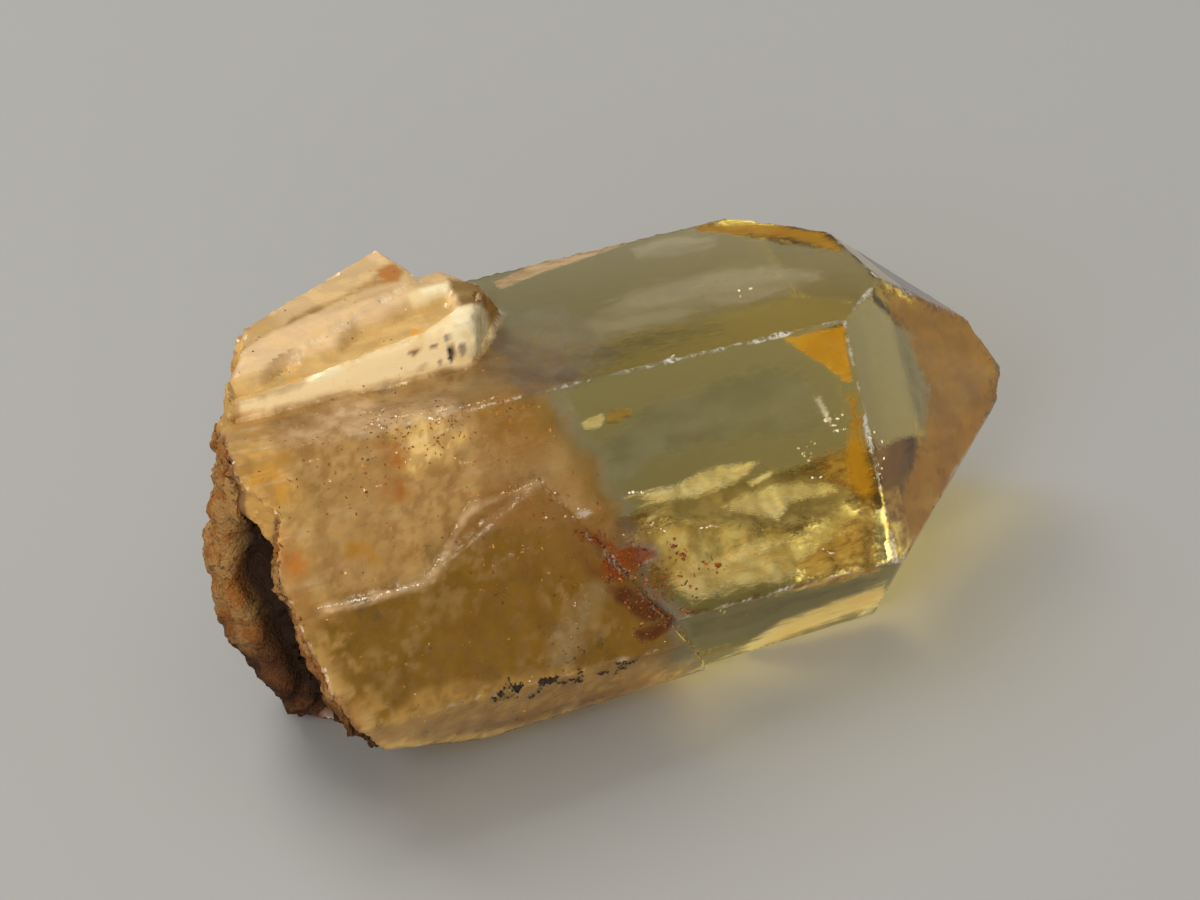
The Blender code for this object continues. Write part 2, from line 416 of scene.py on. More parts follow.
def sharp_edge_points(shape, numbers):
    """Points every EDGE_STEP along the edges between two crystal faces."""
    found = []
    for edge in shape.edges:
        sides = edge.link_faces
        if len(sides) != 2 or edge.calc_face_angle() < SHARP_TURN:
            continue
        if -1 in (numbers[sides[0].index], numbers[sides[1].index]):
            continue
        a, b = (corner.co for corner in edge.verts)
        count = max(1, int((b - a).length / EDGE_STEP))
        found.extend(a.lerp(b, (i + 0.5) / count) for i in range(count))
    return found


def distance_to(found, points):
    """Distance from each point to the nearest of the found ones."""
    tree = kdtree.KDTree(len(found))
    for number, place in enumerate(found):
        tree.insert(place, number)
    tree.balance()
    return np.array([tree.find(point)[2] for point in points])


def spread(mesh, values, rounds):
    """Average each point's value with its neighbours', a few times over."""
    ends = np.empty(len(mesh.edges) * 2, np.int32)
    mesh.edges.foreach_get("vertices", ends)
    a, b = ends.reshape(-1, 2).T
    count = np.bincount(a, minlength=len(values)) + np.bincount(b, minlength=len(values))
    for _ in range(rounds):
        total = np.bincount(a, values[b], len(values)) + np.bincount(b, values[a], len(values))
        values = (values + total) / (1 + count)
    return values


def keep_mask(mesh, name, values):
    """Store one number for each point of a mesh under a name."""
    store = mesh.attributes.new(name, "FLOAT", "POINT")
    store.data.foreach_set("value", np.clip(values, 0.0, 1.0).astype(np.float32))


# %% Masks
BREAK_BEHIND_X = -9.0           # a face that looks backwards beyond here is part of the break
BACKWARDS = -0.35               # it looks backwards if its normal's x is less than this
BREAK_ROUNDS = 25               # the break's rim is smoothed by this many rounds of averaging
BREAK_RIM = (0.38, 0.60)
NEAR_BREAK_ROUNDS = 130         # and so is the zone along it
NEAR_BREAK_RIM = (0.005, 0.16)
SIDE_HEIGHT = 0.12              # a side crystal stands higher than this on the top face
SIDE_END_X = -2.0               # and ends before here
SIDE_ROUNDS = 2
CLOUD_EDGE = (-1.2, -0.42)      # the cloudy quartz ends at this x, and this much less for each mm up
CLOUD_WAVE = 2.2                # the end wanders by this much
CLOUD_FADE = 4.6                # and fades over this length


def cloudiness(points):
    """1 in the cloudy half of the stone, 0 in the clear half."""
    end = CLOUD_EDGE[0] + CLOUD_EDGE[1] * points[:, 2]
    end = end + CLOUD_WAVE * read_noise(points, "cloud end")
    return smooth_step(-CLOUD_FADE / 2, CLOUD_FADE / 2, end - points[:, 0])


edge_distance = distance_to(sharp_edge_points(solid, facet_of), places)
backwards = (normals_of(skin)[:, 0] < BACKWARDS) & (places[:, 0] < BREAK_BEHIND_X)
broken = ((facet_numbers == -1) | backwards).astype(float)
broken = smooth_step(*BREAK_RIM, spread(skin, broken, BREAK_ROUNDS))
near_break = smooth_step(*NEAR_BREAK_RIM, spread(skin, broken, NEAR_BREAK_ROUNDS))
above_top = places @ np.array(top_face["normal"]) - top_face["distance"]
on_side = (above_top > SIDE_HEIGHT) & (places[:, 0] < SIDE_END_X)
side = spread(skin, on_side.astype(float), SIDE_ROUNDS)
cloudy = cloudiness(places)
print("share of the skin that is broken:", round(broken.mean(), 3))
print("share that is side crystals:", round(side.mean(), 3))

# %% [markdown]
# ### Patches
# Some marks lie at one place only: a groove, a pale face, a stain.  Each is drawn as an
# outline of a few points of the picture.  A point of the skin belongs to the patch if it
# faces the camera and lies within the outline.  Its border is soft and a little uneven.

# %% Patches drawn as outlines
HIDING = 0.4                    # a point is hidden if the solid is met this much before it, in mm
HIDING_ROUNDS = 3
HIDING_RIM = (0.2, 0.8)
FACING_RIM = (-0.05, 0.10)      # between these cosines the skin turns away from the camera
FAR = 1e9


def open_to_camera(points):
    """1 where nothing of the solid stands between the camera and a point."""
    found = []
    for point in points:
        line = Vector(point) - camera_place
        distance = tree_of_faces.ray_cast(camera_place, line.normalized())[3]
        found.append(1.0 if distance is None or distance > line.length - HIDING else 0.0)
    return np.array(found)


def outline_depth(points, outline):
    """How far picture points lie inside an outline; less than zero outside."""
    corners = np.array(outline, float)
    odd = np.zeros(len(points), bool)
    away = np.full(len(points), FAR)
    for a, b in zip(corners, np.roll(corners, -1, axis=0)):
        if a[1] != b[1]:
            meets = a[0] + (points[:, 1] - a[1]) * (b[0] - a[0]) / (b[1] - a[1])
            odd ^= ((a[1] > points[:, 1]) != (b[1] > points[:, 1])) & (points[:, 0] < meets)
        part = np.clip((points - a) @ (b - a) / ((b - a) @ (b - a)), 0.0, 1.0)
        away = np.minimum(away, np.linalg.norm(points - a - part[:, None] * (b - a), axis=1))
    return np.where(odd, away, -away)


def patch(outline, soft=4.0, wander=3.0):
    """A mask that is 1 within an outline of picture points."""
    return smooth_step(-soft, soft, outline_depth(in_picture, outline) + wander * wandering) * facing


in_picture = picture_of(places)
wandering = read_noise(places, "outline")
towards = camera_place[:] - places
towards /= np.linalg.norm(towards, axis=1)[:, None]
facing = smooth_step(*FACING_RIM, (normals_of(skin) * towards).sum(1))
facing *= smooth_step(*HIDING_RIM, spread(skin, open_to_camera(places), HIDING_ROUNDS))
print("share of the skin that faces the camera:", round(facing.mean(), 2))

# %% [markdown]
# ### The root's and the side crystals' patches
# The front side crystal has a groove and a smooth lath along its length.  Rusty rock covers
# the break, with a dark gap where the crystal stands away from it; the gap is pressed in, and
# the rock in it is painted nearly black as painted shade.  An outline only reaches the skin
# that the camera sees, so on the far side the rock simply ends at a height.

# %% Root and side crystal patches
SIDE_LATH = [(449, 281), (409, 289), (370, 299), (335, 310), (298, 321), (262, 338), (242, 352),
             (234, 380), (262, 374), (296, 352), (338, 341), (357, 322), (385, 314), (411, 301),
             (446, 291)]
SIDE_GROOVE = [(447, 291), (456, 304), (440, 316), (413, 330), (375, 345), (330, 362), (308, 379),
               (285, 385), (232, 402), (232, 383), (262, 375), (293, 354), (338, 343), (357, 323),
               (385, 315), (411, 302)]
ROOT_OUTLINE = [(180, 432), (228, 438), (236, 480), (243, 515), (256, 545), (269, 565), (303, 607),
                (319, 630), (342, 698), (362, 735), (340, 780), (180, 780)]
CREVICE = [(232, 520), (252, 530), (277, 562), (311, 604), (327, 630), (350, 700), (358, 735),
           (322, 730), (292, 700), (268, 650), (248, 612), (232, 580)]
CREVICE_ROUNDS = 20
CREVICE_RIM = (0.60, 0.92)
# painted shade: under the root the stone is painted nearly black, as far as here
ROOT_FOOT_X = (-17.0, -16.2)    # the stone under the root is as dark as the rock, as far as here
ROOT_FOOT_Z = (1.8, 2.8)
ROCK_TOP_Z = 13.2               # behind, the rock on the break ends at this height
ROCK_TOP_FADE = 0.7
ROCK_TOP_WAVE = 0.9

rock_top = ROCK_TOP_Z + ROCK_TOP_WAVE * read_noise(places, "rock top")
rocky = patch(ROOT_OUTLINE, soft=5.0)
rocky += (1.0 - facing) * smooth_step(-ROCK_TOP_FADE, ROCK_TOP_FADE, rock_top - places[:, 2])
root_foot_shade = 1.0 - smooth_step(*ROOT_FOOT_X, places[:, 0])
root_foot_shade *= 1.0 - smooth_step(*ROOT_FOOT_Z, places[:, 2])
lath = patch(SIDE_LATH, soft=6.0, wander=1.0) * side
groove_patch = patch(SIDE_GROOVE, soft=5.0, wander=1.0) * side
well_inside = smooth_step(*CREVICE_RIM, spread(skin, broken, CREVICE_ROUNDS))
crevice = patch(CREVICE, soft=7.0, wander=2.0) * well_inside
print("points in the side crystal's groove:", int((groove_patch > 0.5).sum()))

# %% [markdown]
# ### Tones of the skin
# The cloudy half is not one colour.  Its skin is tan and honey with rusty and pale places,
# and each side crystal has its own lit and shaded strips.  The tones start from the masks
# and are then laid over each other patch by patch, like thin washes of paint.  A second
# number says how solid (not see-through) the stone is there.

# %% Colours of the skin
TAN = (0.46, 0.26, 0.072)
CLOUD_TAN = (0.57, 0.37, 0.145)
HONEY_TAN = (0.50, 0.29, 0.066)
BREAK_TAN = (0.42, 0.21, 0.05)
PALE_HONEY = (0.88, 0.57, 0.16)
PALE_TAN = (0.72, 0.49, 0.23)
PALE_PINK = (0.84, 0.58, 0.31)
LIT_TAN = (0.66, 0.42, 0.15)
DEEP_HONEY = (0.235, 0.12, 0.009)
BRIGHT_CREAM = (1.0, 0.86, 0.54)
SOFT_CREAM = (1.0, 0.77, 0.42)
GROOVE_HONEY = (0.78, 0.51, 0.18)
# painted shade on the crystal behind
BACK_CRYSTAL_SHADE = (0.42, 0.24, 0.075)
RUSTY = (0.52, 0.20, 0.035)
OCHRE = (0.72, 0.36, 0.05)
GOLD_CREAM = (0.86, 0.56, 0.185)
GREY_TAN = (0.46, 0.35, 0.16)
WINE = (0.26, 0.10, 0.07)
STEEL = (0.16, 0.15, 0.17)
BLACKISH = (0.03, 0.025, 0.02)
ROOT_BROWN = (0.20, 0.09, 0.03)
RED_BROWN = (0.26, 0.055, 0.002)
DARK_BROWN = (0.095, 0.026, 0.002)
BARE = (1.0, 1.0, 1.0)          # clear stone has no tone of its own
CLEAR_SHARE = 0.12              # how much it still counts where it is painted over
WASH_WANDER = 0.7               # the border of a wash wanders by this share of its softness
TINY = 0.001                    # keeps a share from being divided by nothing
SPECKLE_LEAST = 0.45            # a wash covers at least this much, and all of a side crystal


def wash(tone, colour, cover):
    """Move a tone towards a colour."""
    return tone + (np.array(colour) - tone) * cover[:, None]


def paint(washes, tone, body, within):
    """Lay washes of tone and solidness over the skin, within a mask.

    The more solid of two tones counts for more, so no white rim shows on clear stone.
    """
    for outline, colour, solidness, soft in washes:
        cover = patch(outline, soft, wander=WASH_WANDER * soft) * within * speckle
        new = solidness * cover
        old = np.maximum(body, CLEAR_SHARE) * (1.0 - cover)
        tone = wash(tone, colour, new / np.maximum(new + old, TINY))
        body = body + (solidness - body) * cover
    return tone, body


speckle = np.maximum(side, SPECKLE_LEAST + (1.0 - SPECKLE_LEAST) * spots(places, "speckle"))
print("a wash covers, on average:", round(speckle.mean(), 2))

# %% [markdown]
# ### Ground tones
# First the broad tones: tan over the whole cloudy half, mottled with a lighter one, paler
# side crystals, and brown along the break.  The root's own underside is nearly black.

# %% Ground tones
CLOUD_RISE = (0.0, 0.5)         # the tan comes in faster than the cloud itself
BREAK_HONEY = 0.6               # share of the honey tone in the zone along the break
RIM_ROUNDS = 200
RIM_RANGE = (0.003, 0.20)
RIM_BROWN = (0.25, 0.65)        # share of brown on the rim, and how much more between the mottles
ROOT_RANGE = (0.1, 0.4)
CLOUD_BODY = (0.22, 0.18)       # how solid the cloud's skin is, and how much more in the mottles
SIDE_BODY = 0.85
NEAR_BREAK_BODY = 0.9
RIM_BODY = 0.80

cloud_colour = smooth_step(*CLOUD_RISE, cloudy)
rim_of_break = smooth_step(*RIM_RANGE, spread(skin, broken, RIM_ROUNDS))
rim_brown = RIM_BROWN[0] + RIM_BROWN[1] * (1.0 - mottle)
tone = np.ones((len(places), 3)) * BARE
tone = wash(tone, TAN, cloud_colour)
tone = wash(tone, CLOUD_TAN, cloud_colour * mottle)
tone = wash(tone, PALE_TAN, side)
tone = wash(tone, HONEY_TAN, np.maximum(BREAK_HONEY * near_break, broken))
tone = wash(tone, BREAK_TAN, rim_of_break * rim_brown * (1.0 - side))
tone = wash(tone, ROOT_BROWN, smooth_step(*ROOT_RANGE, np.minimum(broken, rocky)))
body = np.maximum(cloudy * (CLOUD_BODY[0] + CLOUD_BODY[1] * mottle), SIDE_BODY * side)
body = np.maximum(body, np.maximum(NEAR_BREAK_BODY * near_break, broken))
print("mean solidness before the washes:", round(body.mean(), 2))

# %% [markdown]
# ### Washes on the front
# Then the places with a tone of their own, from the broad ones to the small.  The slab is
# deep honey with pale edges, round it the skin is tan with rusty and golden places, and
# where the slab ends the rust begins.  Two washes are light and shade instead: the thin pale
# line along the slab's ledge is a painted highlight, and the dark brown under the root is
# painted shade.

# %% Washes on the front
RED_ARC = [(575, 531), (588, 532), (600, 535), (612, 540), (620, 546), (612, 552), (600, 546), (586, 541)]
RED_MAIN = [(612, 550), (630, 547), (657, 551), (655, 558), (642, 560), (630, 568), (620, 584),
            (608, 583), (603, 568), (606, 556)]
WEDGE = [(608, 583), (624, 587), (642, 596), (660, 604), (670, 614), (676, 620), (641, 621), (632, 613),
         (626, 605), (618, 600), (608, 592)]
WEDGE_BELOW = [(634, 630), (650, 626), (676, 620), (668, 630), (653, 639), (637, 641)]
GREY_SMEAR = [(580, 553), (588, 560), (596, 568), (608, 576), (608, 583), (592, 576), (583, 566)]
FACE_PAINT = [
    # outline, tone, solidness, softness
    # painted shade: dark brown under the root
    ([(296, 698), (345, 698), (362, 734), (350, 748), (330, 742), (296, 722)], ROOT_BROWN, 0.95, 4.0),
    ([(240, 440), (300, 430), (380, 420), (470, 405), (545, 395), (530, 450), (455, 515), (420, 575),
      (320, 602), (262, 560), (240, 500)], LIT_TAN, 0.5, 16.0),
    ([(312, 612), (425, 586), (450, 548), (500, 528), (560, 536), (612, 566), (676, 618), (660, 655),
      (560, 676), (420, 700), (384, 735), (350, 690), (318, 645)], DEEP_HONEY, 0.72, 15.0),
    ([(372, 412), (420, 398), (462, 386), (520, 372), (470, 402), (420, 414), (372, 424)],
      GREY_TAN, 0.35, 8.0),
    ([(425, 396), (500, 350), (515, 320), (560, 320), (600, 345), (560, 385), (470, 404)],
      GREY_TAN, 0.24, 20.0),
    ([(345, 398), (380, 408), (452, 402), (470, 412), (400, 428), (360, 432), (300, 442), (262, 448)],
      PALE_PINK, 0.45, 9.0),
    ([(392, 428), (410, 420), (436, 416), (454, 426), (470, 430), (458, 446), (440, 462), (416, 474),
      (398, 460)], GOLD_CREAM, 0.85, 10.0),
    ([(374, 444), (396, 440), (408, 450), (404, 468), (388, 466)], RUSTY, 0.6, 6.0),
    ([(375, 482), (398, 476), (412, 490), (400, 503), (380, 500)], RUSTY, 0.5, 9.0),
    ([(340, 415), (372, 412), (384, 426), (360, 440), (340, 436)], PALE_PINK, 0.5, 8.0),
    ([(478, 455), (520, 440), (556, 452), (548, 486), (500, 492)], CLOUD_TAN, 0.4, 14.0),
    ([(596, 580), (606, 590), (588, 626), (572, 668), (548, 668), (548, 632), (576, 606)],
      GREY_TAN, 0.35, 9.0),
    ([(262, 520), (290, 540), (312, 560), (300, 590), (275, 568), (258, 545)], RUSTY, 0.55, 12.0),
    ([(240, 450), (285, 452), (300, 500), (270, 520), (246, 505)], OCHRE, 0.40, 18.0),
    ([(345, 540), (372, 545), (385, 560), (362, 566), (345, 556)], OCHRE, 0.35, 7.0),
    # painted highlight: two thin pale lines along the slab's ledge
    ([(318, 606), (372, 594), (425, 580), (428, 585), (376, 601), (322, 614)], PALE_PINK, 0.5, 3.0),
    ([(425, 582), (446, 548), (464, 512), (476, 501), (520, 490), (544, 478), (542, 482), (480, 507),
      (466, 520), (434, 582)], PALE_PINK, 0.5, 3.0),
    ([(470, 400), (540, 388), (575, 420), (540, 455), (490, 450)], HONEY_TAN, 0.28, 16.0),
    ([(415, 690), (560, 672), (660, 660), (670, 672), (560, 706), (440, 726), (385, 735)],
      HONEY_TAN, 0.6, 8.0),
    ([(382, 742), (480, 732), (560, 714), (640, 690), (690, 658), (700, 668), (640, 698), (560, 722),
      (480, 742), (390, 752)], PALE_HONEY, 0.6, 6.0),
    (RED_ARC, RED_BROWN, 0.6, 4.0),
    (RED_MAIN, RED_BROWN, 0.6, 6.0),
    (GREY_SMEAR, RED_BROWN, 0.4, 5.0),
    (RED_MAIN, RED_BROWN, 0.7, 4.0),
    (WEDGE, DARK_BROWN, 0.97, 4.0),
    (WEDGE, DARK_BROWN, 0.97, 3.0),
    (WEDGE_BELOW, DARK_BROWN, 0.97, 3.0),
    (WEDGE_BELOW, DARK_BROWN, 0.97, 3.0),
]

tone, body = paint(FACE_PAINT, tone, body, (1.0 - side) * (1.0 - broken))
print("washes on the front:", len(FACE_PAINT))

# %% [markdown]
# ### Washes on the side crystals
# The front side crystal has a lit cream face, a groove and a lath above it, and dark spots
# at its end.  The one behind it has a brown strip of painted shade along its lower edge.

# %% Washes on the side crystals
SIDE_PAINT = [
    # outline, tone, solidness, softness
    # painted shade: brown strip along the lower edge of the crystal behind
    ([(372, 279), (392, 261), (403, 272), (399, 278), (378, 283), (352, 293), (330, 304), (300, 321),
      (283, 332), (288, 319), (330, 300), (350, 290)], BACK_CRYSTAL_SHADE, 0.75, 3.0),
    ([(376, 270), (390, 261), (403, 272), (398, 278), (384, 280)], RUSTY, 0.8, 3.0),
    ([(362, 250), (374, 247), (390, 258), (380, 263), (366, 256)], PALE_PINK, 0.85, 3.0),
    (SIDE_LATH, PALE_PINK, 0.85, 3.0),
    ([(409, 296), (430, 288), (449, 281), (446, 291), (425, 298), (411, 302)], BRIGHT_CREAM, 0.95, 2.0),
    (SIDE_GROOVE, GROOVE_HONEY, 0.7, 3.0),
    ([(308, 379), (326, 362), (345, 352), (375, 340), (402, 331), (398, 340), (370, 352), (340, 368)],
      GOLD_CREAM, 0.85, 3.0),
    ([(456, 306), (480, 301), (492, 313), (495, 338), (477, 360), (458, 368), (424, 376), (375, 391),
      (340, 400), (300, 409), (240, 432), (240, 404), (300, 388), (321, 368), (342, 364), (384, 346),
      (426, 329)], SOFT_CREAM, 0.97, 4.0),
    ([(456, 306), (478, 301), (491, 313), (494, 338), (476, 358), (460, 352), (448, 330), (450, 312)],
      BRIGHT_CREAM, 0.95, 4.0),
    ([(308, 380), (324, 366), (340, 362), (345, 370), (330, 378), (312, 382)], BRIGHT_CREAM, 0.95, 2.0),
    ([(449, 279), (475, 279), (499, 294), (504, 310), (497, 344), (491, 350), (493, 330), (488, 311),
      (476, 303), (460, 306), (454, 292)], HONEY_TAN, 0.30, 3.0),
    ([(409, 318), (418, 317), (427, 325), (422, 336), (411, 331)], OCHRE, 0.95, 3.0),
    ([(287, 372), (297, 367), (306, 369), (311, 376), (299, 380), (288, 379)], OCHRE, 0.95, 2.0),
    ([(408, 353), (416, 348), (423, 350), (414, 356)], WINE, 0.9, 2.0),
    ([(430, 346), (436, 344), (438, 347), (432, 349)], WINE, 0.9, 1.5),
    ([(415, 371), (422, 364), (430, 365), (424, 371)], WINE, 0.9, 2.0),
    ([(439, 360), (443, 360), (443, 365), (439, 365)], WINE, 0.9, 1.5),
    ([(447, 346), (454, 344), (457, 352), (454, 362), (448, 360)], BLACKISH, 1.0, 1.2),
    ([(458, 343), (466, 342), (468, 352), (462, 359), (458, 352)], STEEL, 0.95, 1.5),
    ([(444, 336), (448, 333), (452, 337), (447, 342)], STEEL, 0.95, 1.5),
]


def keep_tone(mesh, name, values):
    """Store a colour for each point of a mesh under a name."""
    store = mesh.attributes.new(name, "FLOAT_VECTOR", "POINT")
    store.data.foreach_set("vector", np.clip(values, 0.0, 1.0).astype(np.float32).ravel())


tone, body = paint(SIDE_PAINT, tone, body, side)
body = np.maximum(body, RIM_BODY * rim_of_break * (1.0 - side))
# painted shade under the root: the stone is washed nearly black and made solid
tone = wash(tone, DARK_BROWN, root_foot_shade)
body = np.maximum(body, root_foot_shade)
keep_tone(skin, "tone", tone)
keep_mask(skin, "body", body)
print("washes on the side crystals:", len(SIDE_PAINT))

# %% [markdown]
# ### Wear
# Three kinds of relief are pressed into the skin: small chips along every edge, lengthwise
# grooves on the side crystals, and a hackly surface on the break.

# %% Chips
CHIP_REACH = 0.27           # the chips reach this far from an edge
CHIP_DEPTH = 0.16
CHIP_MEAN = 0.5             # an edge is chipped to this share of the depth on average
CHIP_VARIETY = 0.8
NICK_DEPTH = 0.45           # a few chips are this much deeper
NICK_REACH = 2.2            # and reach this much further
TIP_FRESHNESS = 0.70        # the edges near the tip are this much less deeply worn
TIP_FRESH_X = (-8.0, 2.0)
RIM_CLEANNESS = 0.7         # chips near the break are this much less white


def press_chips():
    """How deep the chips are at each point."""
    close = 1.0 - smooth_step(0.0, CHIP_REACH, edge_distance)
    near_nick = 1.0 - smooth_step(0.0, NICK_REACH * CHIP_REACH, edge_distance)
    small = CHIP_MEAN + CHIP_VARIETY * read_noise(places, "small chips")
    large = spots(places, "large chips")
    return np.clip(CHIP_DEPTH * small * close + NICK_DEPTH * large * near_nick * close, 0.0, None)


chips = press_chips()
worn = np.clip(chips / CHIP_DEPTH, 0.0, 1.0)
worn *= (1.0 - root_foot_shade) * (1.0 - RIM_CLEANNESS * rim_of_break)
chips *= 1.0 - TIP_FRESHNESS * smooth_step(*TIP_FRESH_X, places[:, 0])
print("deepest chip in mm:", round(chips.max(), 2))

# %% Grooves
GROOVE_DEPTH = 0.08
GROOVE_MEAN = 0.35
GROOVE_STRETCH = 0.07       # lengthwise the grooves change this slowly
CHANNEL_DEPTH = 0.50        # the deep channel along the front side crystal
LATH_LIFT = 0.12            # the lath beside it stands up this much
SIDE_TURN = math.radians(7.0)
SIDE_AXIS = np.array(Vector((math.cos(SIDE_TURN), math.sin(SIDE_TURN), 0.0)))


def press_grooves():
    """How deep the lengthwise grooves of the side crystals are."""
    along = places @ SIDE_AXIS
    across = places - along[:, None] * SIDE_AXIS
    drawn = np.column_stack((across[:, 1], across[:, 2], GROOVE_STRETCH * along))
    fine = np.clip(GROOVE_MEAN + read_noise(drawn, "grooves"), 0.0, 1.0)
    return GROOVE_DEPTH * side * fine + CHANNEL_DEPTH * groove_patch - LATH_LIFT * lath


grooves = press_grooves()
print("deepest groove in mm:", round(grooves.max(), 2))

# %% Break
BREAK_DEPTH = 0.22
BREAK_MEAN = 0.8
CREVICE_DEPTH = 1.1         # the dark gap between crystal and root
ROOT_EDGE_Y = (430, 457, 478, 506, 534, 576, 601, 640, 650, 675, 692, 725)
ROOT_EDGE_X = (216, 224, 220, 216, 213, 213, 225, 236, 249, 266, 288, 288)
TRIM_STEP = 0.037           # mm for each picture point beyond the root's edge


def press_break():
    """How deep the hackly surface of the break is."""
    return BREAK_DEPTH * broken * (BREAK_MEAN + read_noise(places, "break")) + CREVICE_DEPTH * crevice


def trim_root(points):
    """Draw in what stands out beyond the root's edge to the left."""
    seen = picture_of(points)
    beyond = np.interp(seen[:, 1], ROOT_EDGE_Y, ROOT_EDGE_X) - seen[:, 0]
    right = np.array(camera_turn @ Vector((1.0, 0.0, 0.0)))
    return points + np.clip(beyond, 0.0, None)[:, None] * TRIM_STEP * right


pressed = chips + grooves + press_break()
places = trim_root(places - normals_of(skin) * pressed[:, None])
move_points(skin, places)
for mask_name, mask in {"worn": worn, "side": side, "broken": broken, "cloudy": cloudy}.items():
    keep_mask(skin, mask_name, mask)
print("deepest place in mm:", round(pressed.max(), 2))

# %% [markdown]
# ## The quartz material
# One material covers the whole skin, because the light that enters a clear stone has to
# leave through the same material.  Its colour comes from what the light loses on its way
# through (absorption), so thin parts are pale and long ways are amber.  The masks make it
# milky, frosted or opaque from place to place.

# %% Material helpers


def mm_place(tree):
    """The place on the piece, in millimetres."""
    place = put(tree, "TexCoord").outputs["Object"]
    return put(tree, "VectorMath", {0: place, "Scale": 1 / MM}, operation="SCALE").outputs[0]


def ramp(tree, value, low, high, start=0.0, end=1.0):
    """A smooth rise from start to end while the value goes from low to high."""
    links = {"Value": value, "From Min": low, "From Max": high, "To Min": start, "To Max": end}
    return put(tree, "MapRange", links, interpolation_type="SMOOTHSTEP").outputs[0]


def grain(tree, place, scale, detail=3.0, roughness=0.55, distortion=0.0):
    """Noise from about 0.3 to 0.7 with scale waves in a millimetre."""
    links = {"Vector": place, "Scale": scale, "Detail": detail, "Roughness": roughness}
    links["Distortion"] = distortion
    return put(tree, "TexNoise", links).outputs["Fac"]


def maths(tree, operation, a, b=0.0, clamp=False):
    """One sum of two values."""
    return put(tree, "Math", {0: a, 1: b}, operation=operation, use_clamp=clamp).outputs[0]


def product(tree, a, *others):
    """The product of two or more values."""
    for b in others:
        a = maths(tree, "MULTIPLY", a, b)
    return a


def highest(tree, a, *others):
    """The highest of two or more values."""
    for b in others:
        a = maths(tree, "MAXIMUM", a, b)
    return a


def mix_colour(tree, factor, a, b):
    """The colour between a and b."""
    return put(tree, "Mix", {0: factor, 6: a, 7: b}, data_type="RGBA").outputs[2]


def mix_shader(tree, factor, a, b):
    """The shader between a and b."""
    return put(tree, "MixShader", {0: factor, 1: a.outputs[0], 2: b.outputs[0]})


def stretched(tree, place, scale, turn=0.0):
    """The place turned about z by an angle in degrees and stretched."""
    angles = (0.0, 0.0, math.radians(turn))
    return put(tree, "Mapping", {"Vector": place, "Rotation": angles, "Scale": scale}).outputs[0]


def mask_of(tree, name):
    """A mask that was stored on the mesh."""
    return put(tree, "Attribute", attribute_name=name).outputs["Fac"]


def bumps(tree, height, strength, depth):
    """Relief from a height, this many mm deep."""
    return put(tree, "Bump", {"Height": height, "Strength": strength, "Distance": depth * MM}).outputs[0]


def absorption(loss):
    """Density and colour of an absorbing volume, from the loss in each mm."""
    density = max(loss) / MM
    return density, tuple(1.0 - part / max(loss) for part in loss) + (1.0,)


# %% Quartz
QUARTZ_IOR = 1.544
HONEY_LOSS = (0.029, 0.038, 0.094)      # share of red, green and blue light lost in each mm
PINK_WHITE = (0.96, 0.77, 0.52, 1.0)
SIDE_HONEY = (0.76, 0.50, 0.19, 1.0)
CHIP_WHITE = (0.92, 0.82, 0.66, 1.0)
RUST_GRAIN = (0.36, 0.15, 0.03, 1.0)
SHADOW_TINT = (0.96, 0.90, 0.72, 1.0)
STREAK_STRETCH = (0.14, 1.8, 1.8)
STREAK_TURN = -6.0
ETCH_STRETCH = (0.5, 1.5, 1.5)
QUARTZ_GRAINS = {
    # waves in a mm, detail, roughness
    "fine": (4.5, 6.0, 0.72),
    "streaks": (1.0, 5.0, 0.65),
    "drifts": (0.7, 4.0, 0.55),
    "chips": (5.0, 3.0),
    "frost": (0.9, 4.0),
    "etching": (1.0, 5.0, 0.6),
    "splinters": (7.0, 5.0, 0.7),
}
QUARTZ_RAMPS = {
    # from, to, and the values at these ends if they aren't 0 and 1
    "uneven": (0.34, 0.66, 0.82, 1.25),
    "full body": (0.5, 0.8),
    "worn deep": (0.15, 0.95),
    "chip grain": (0.35, 0.6),
    "pale streaks": (0.50, 0.72, 0.0, 0.40),
    "not too dark": (0.12, 0.36),
    "side drifts": (0.46, 0.64, 0.0, 0.5),
    "dark grain": (0.44, 0.34, 0.0, 0.12),
    "frost": (0.4, 0.7, 0.02, 0.3),
}
CHIP_COVER = 0.7
SIDE_ROUGHNESS = 0.22
BREAK_ROUGHNESS = 0.6
CHIP_ROUGHNESS = 0.15
LEAST_ROUGHNESS = 0.015
SPLINTER_HEIGHT = 3.0
ETCHING = (0.35, 0.04)      # strength, and depth in mm


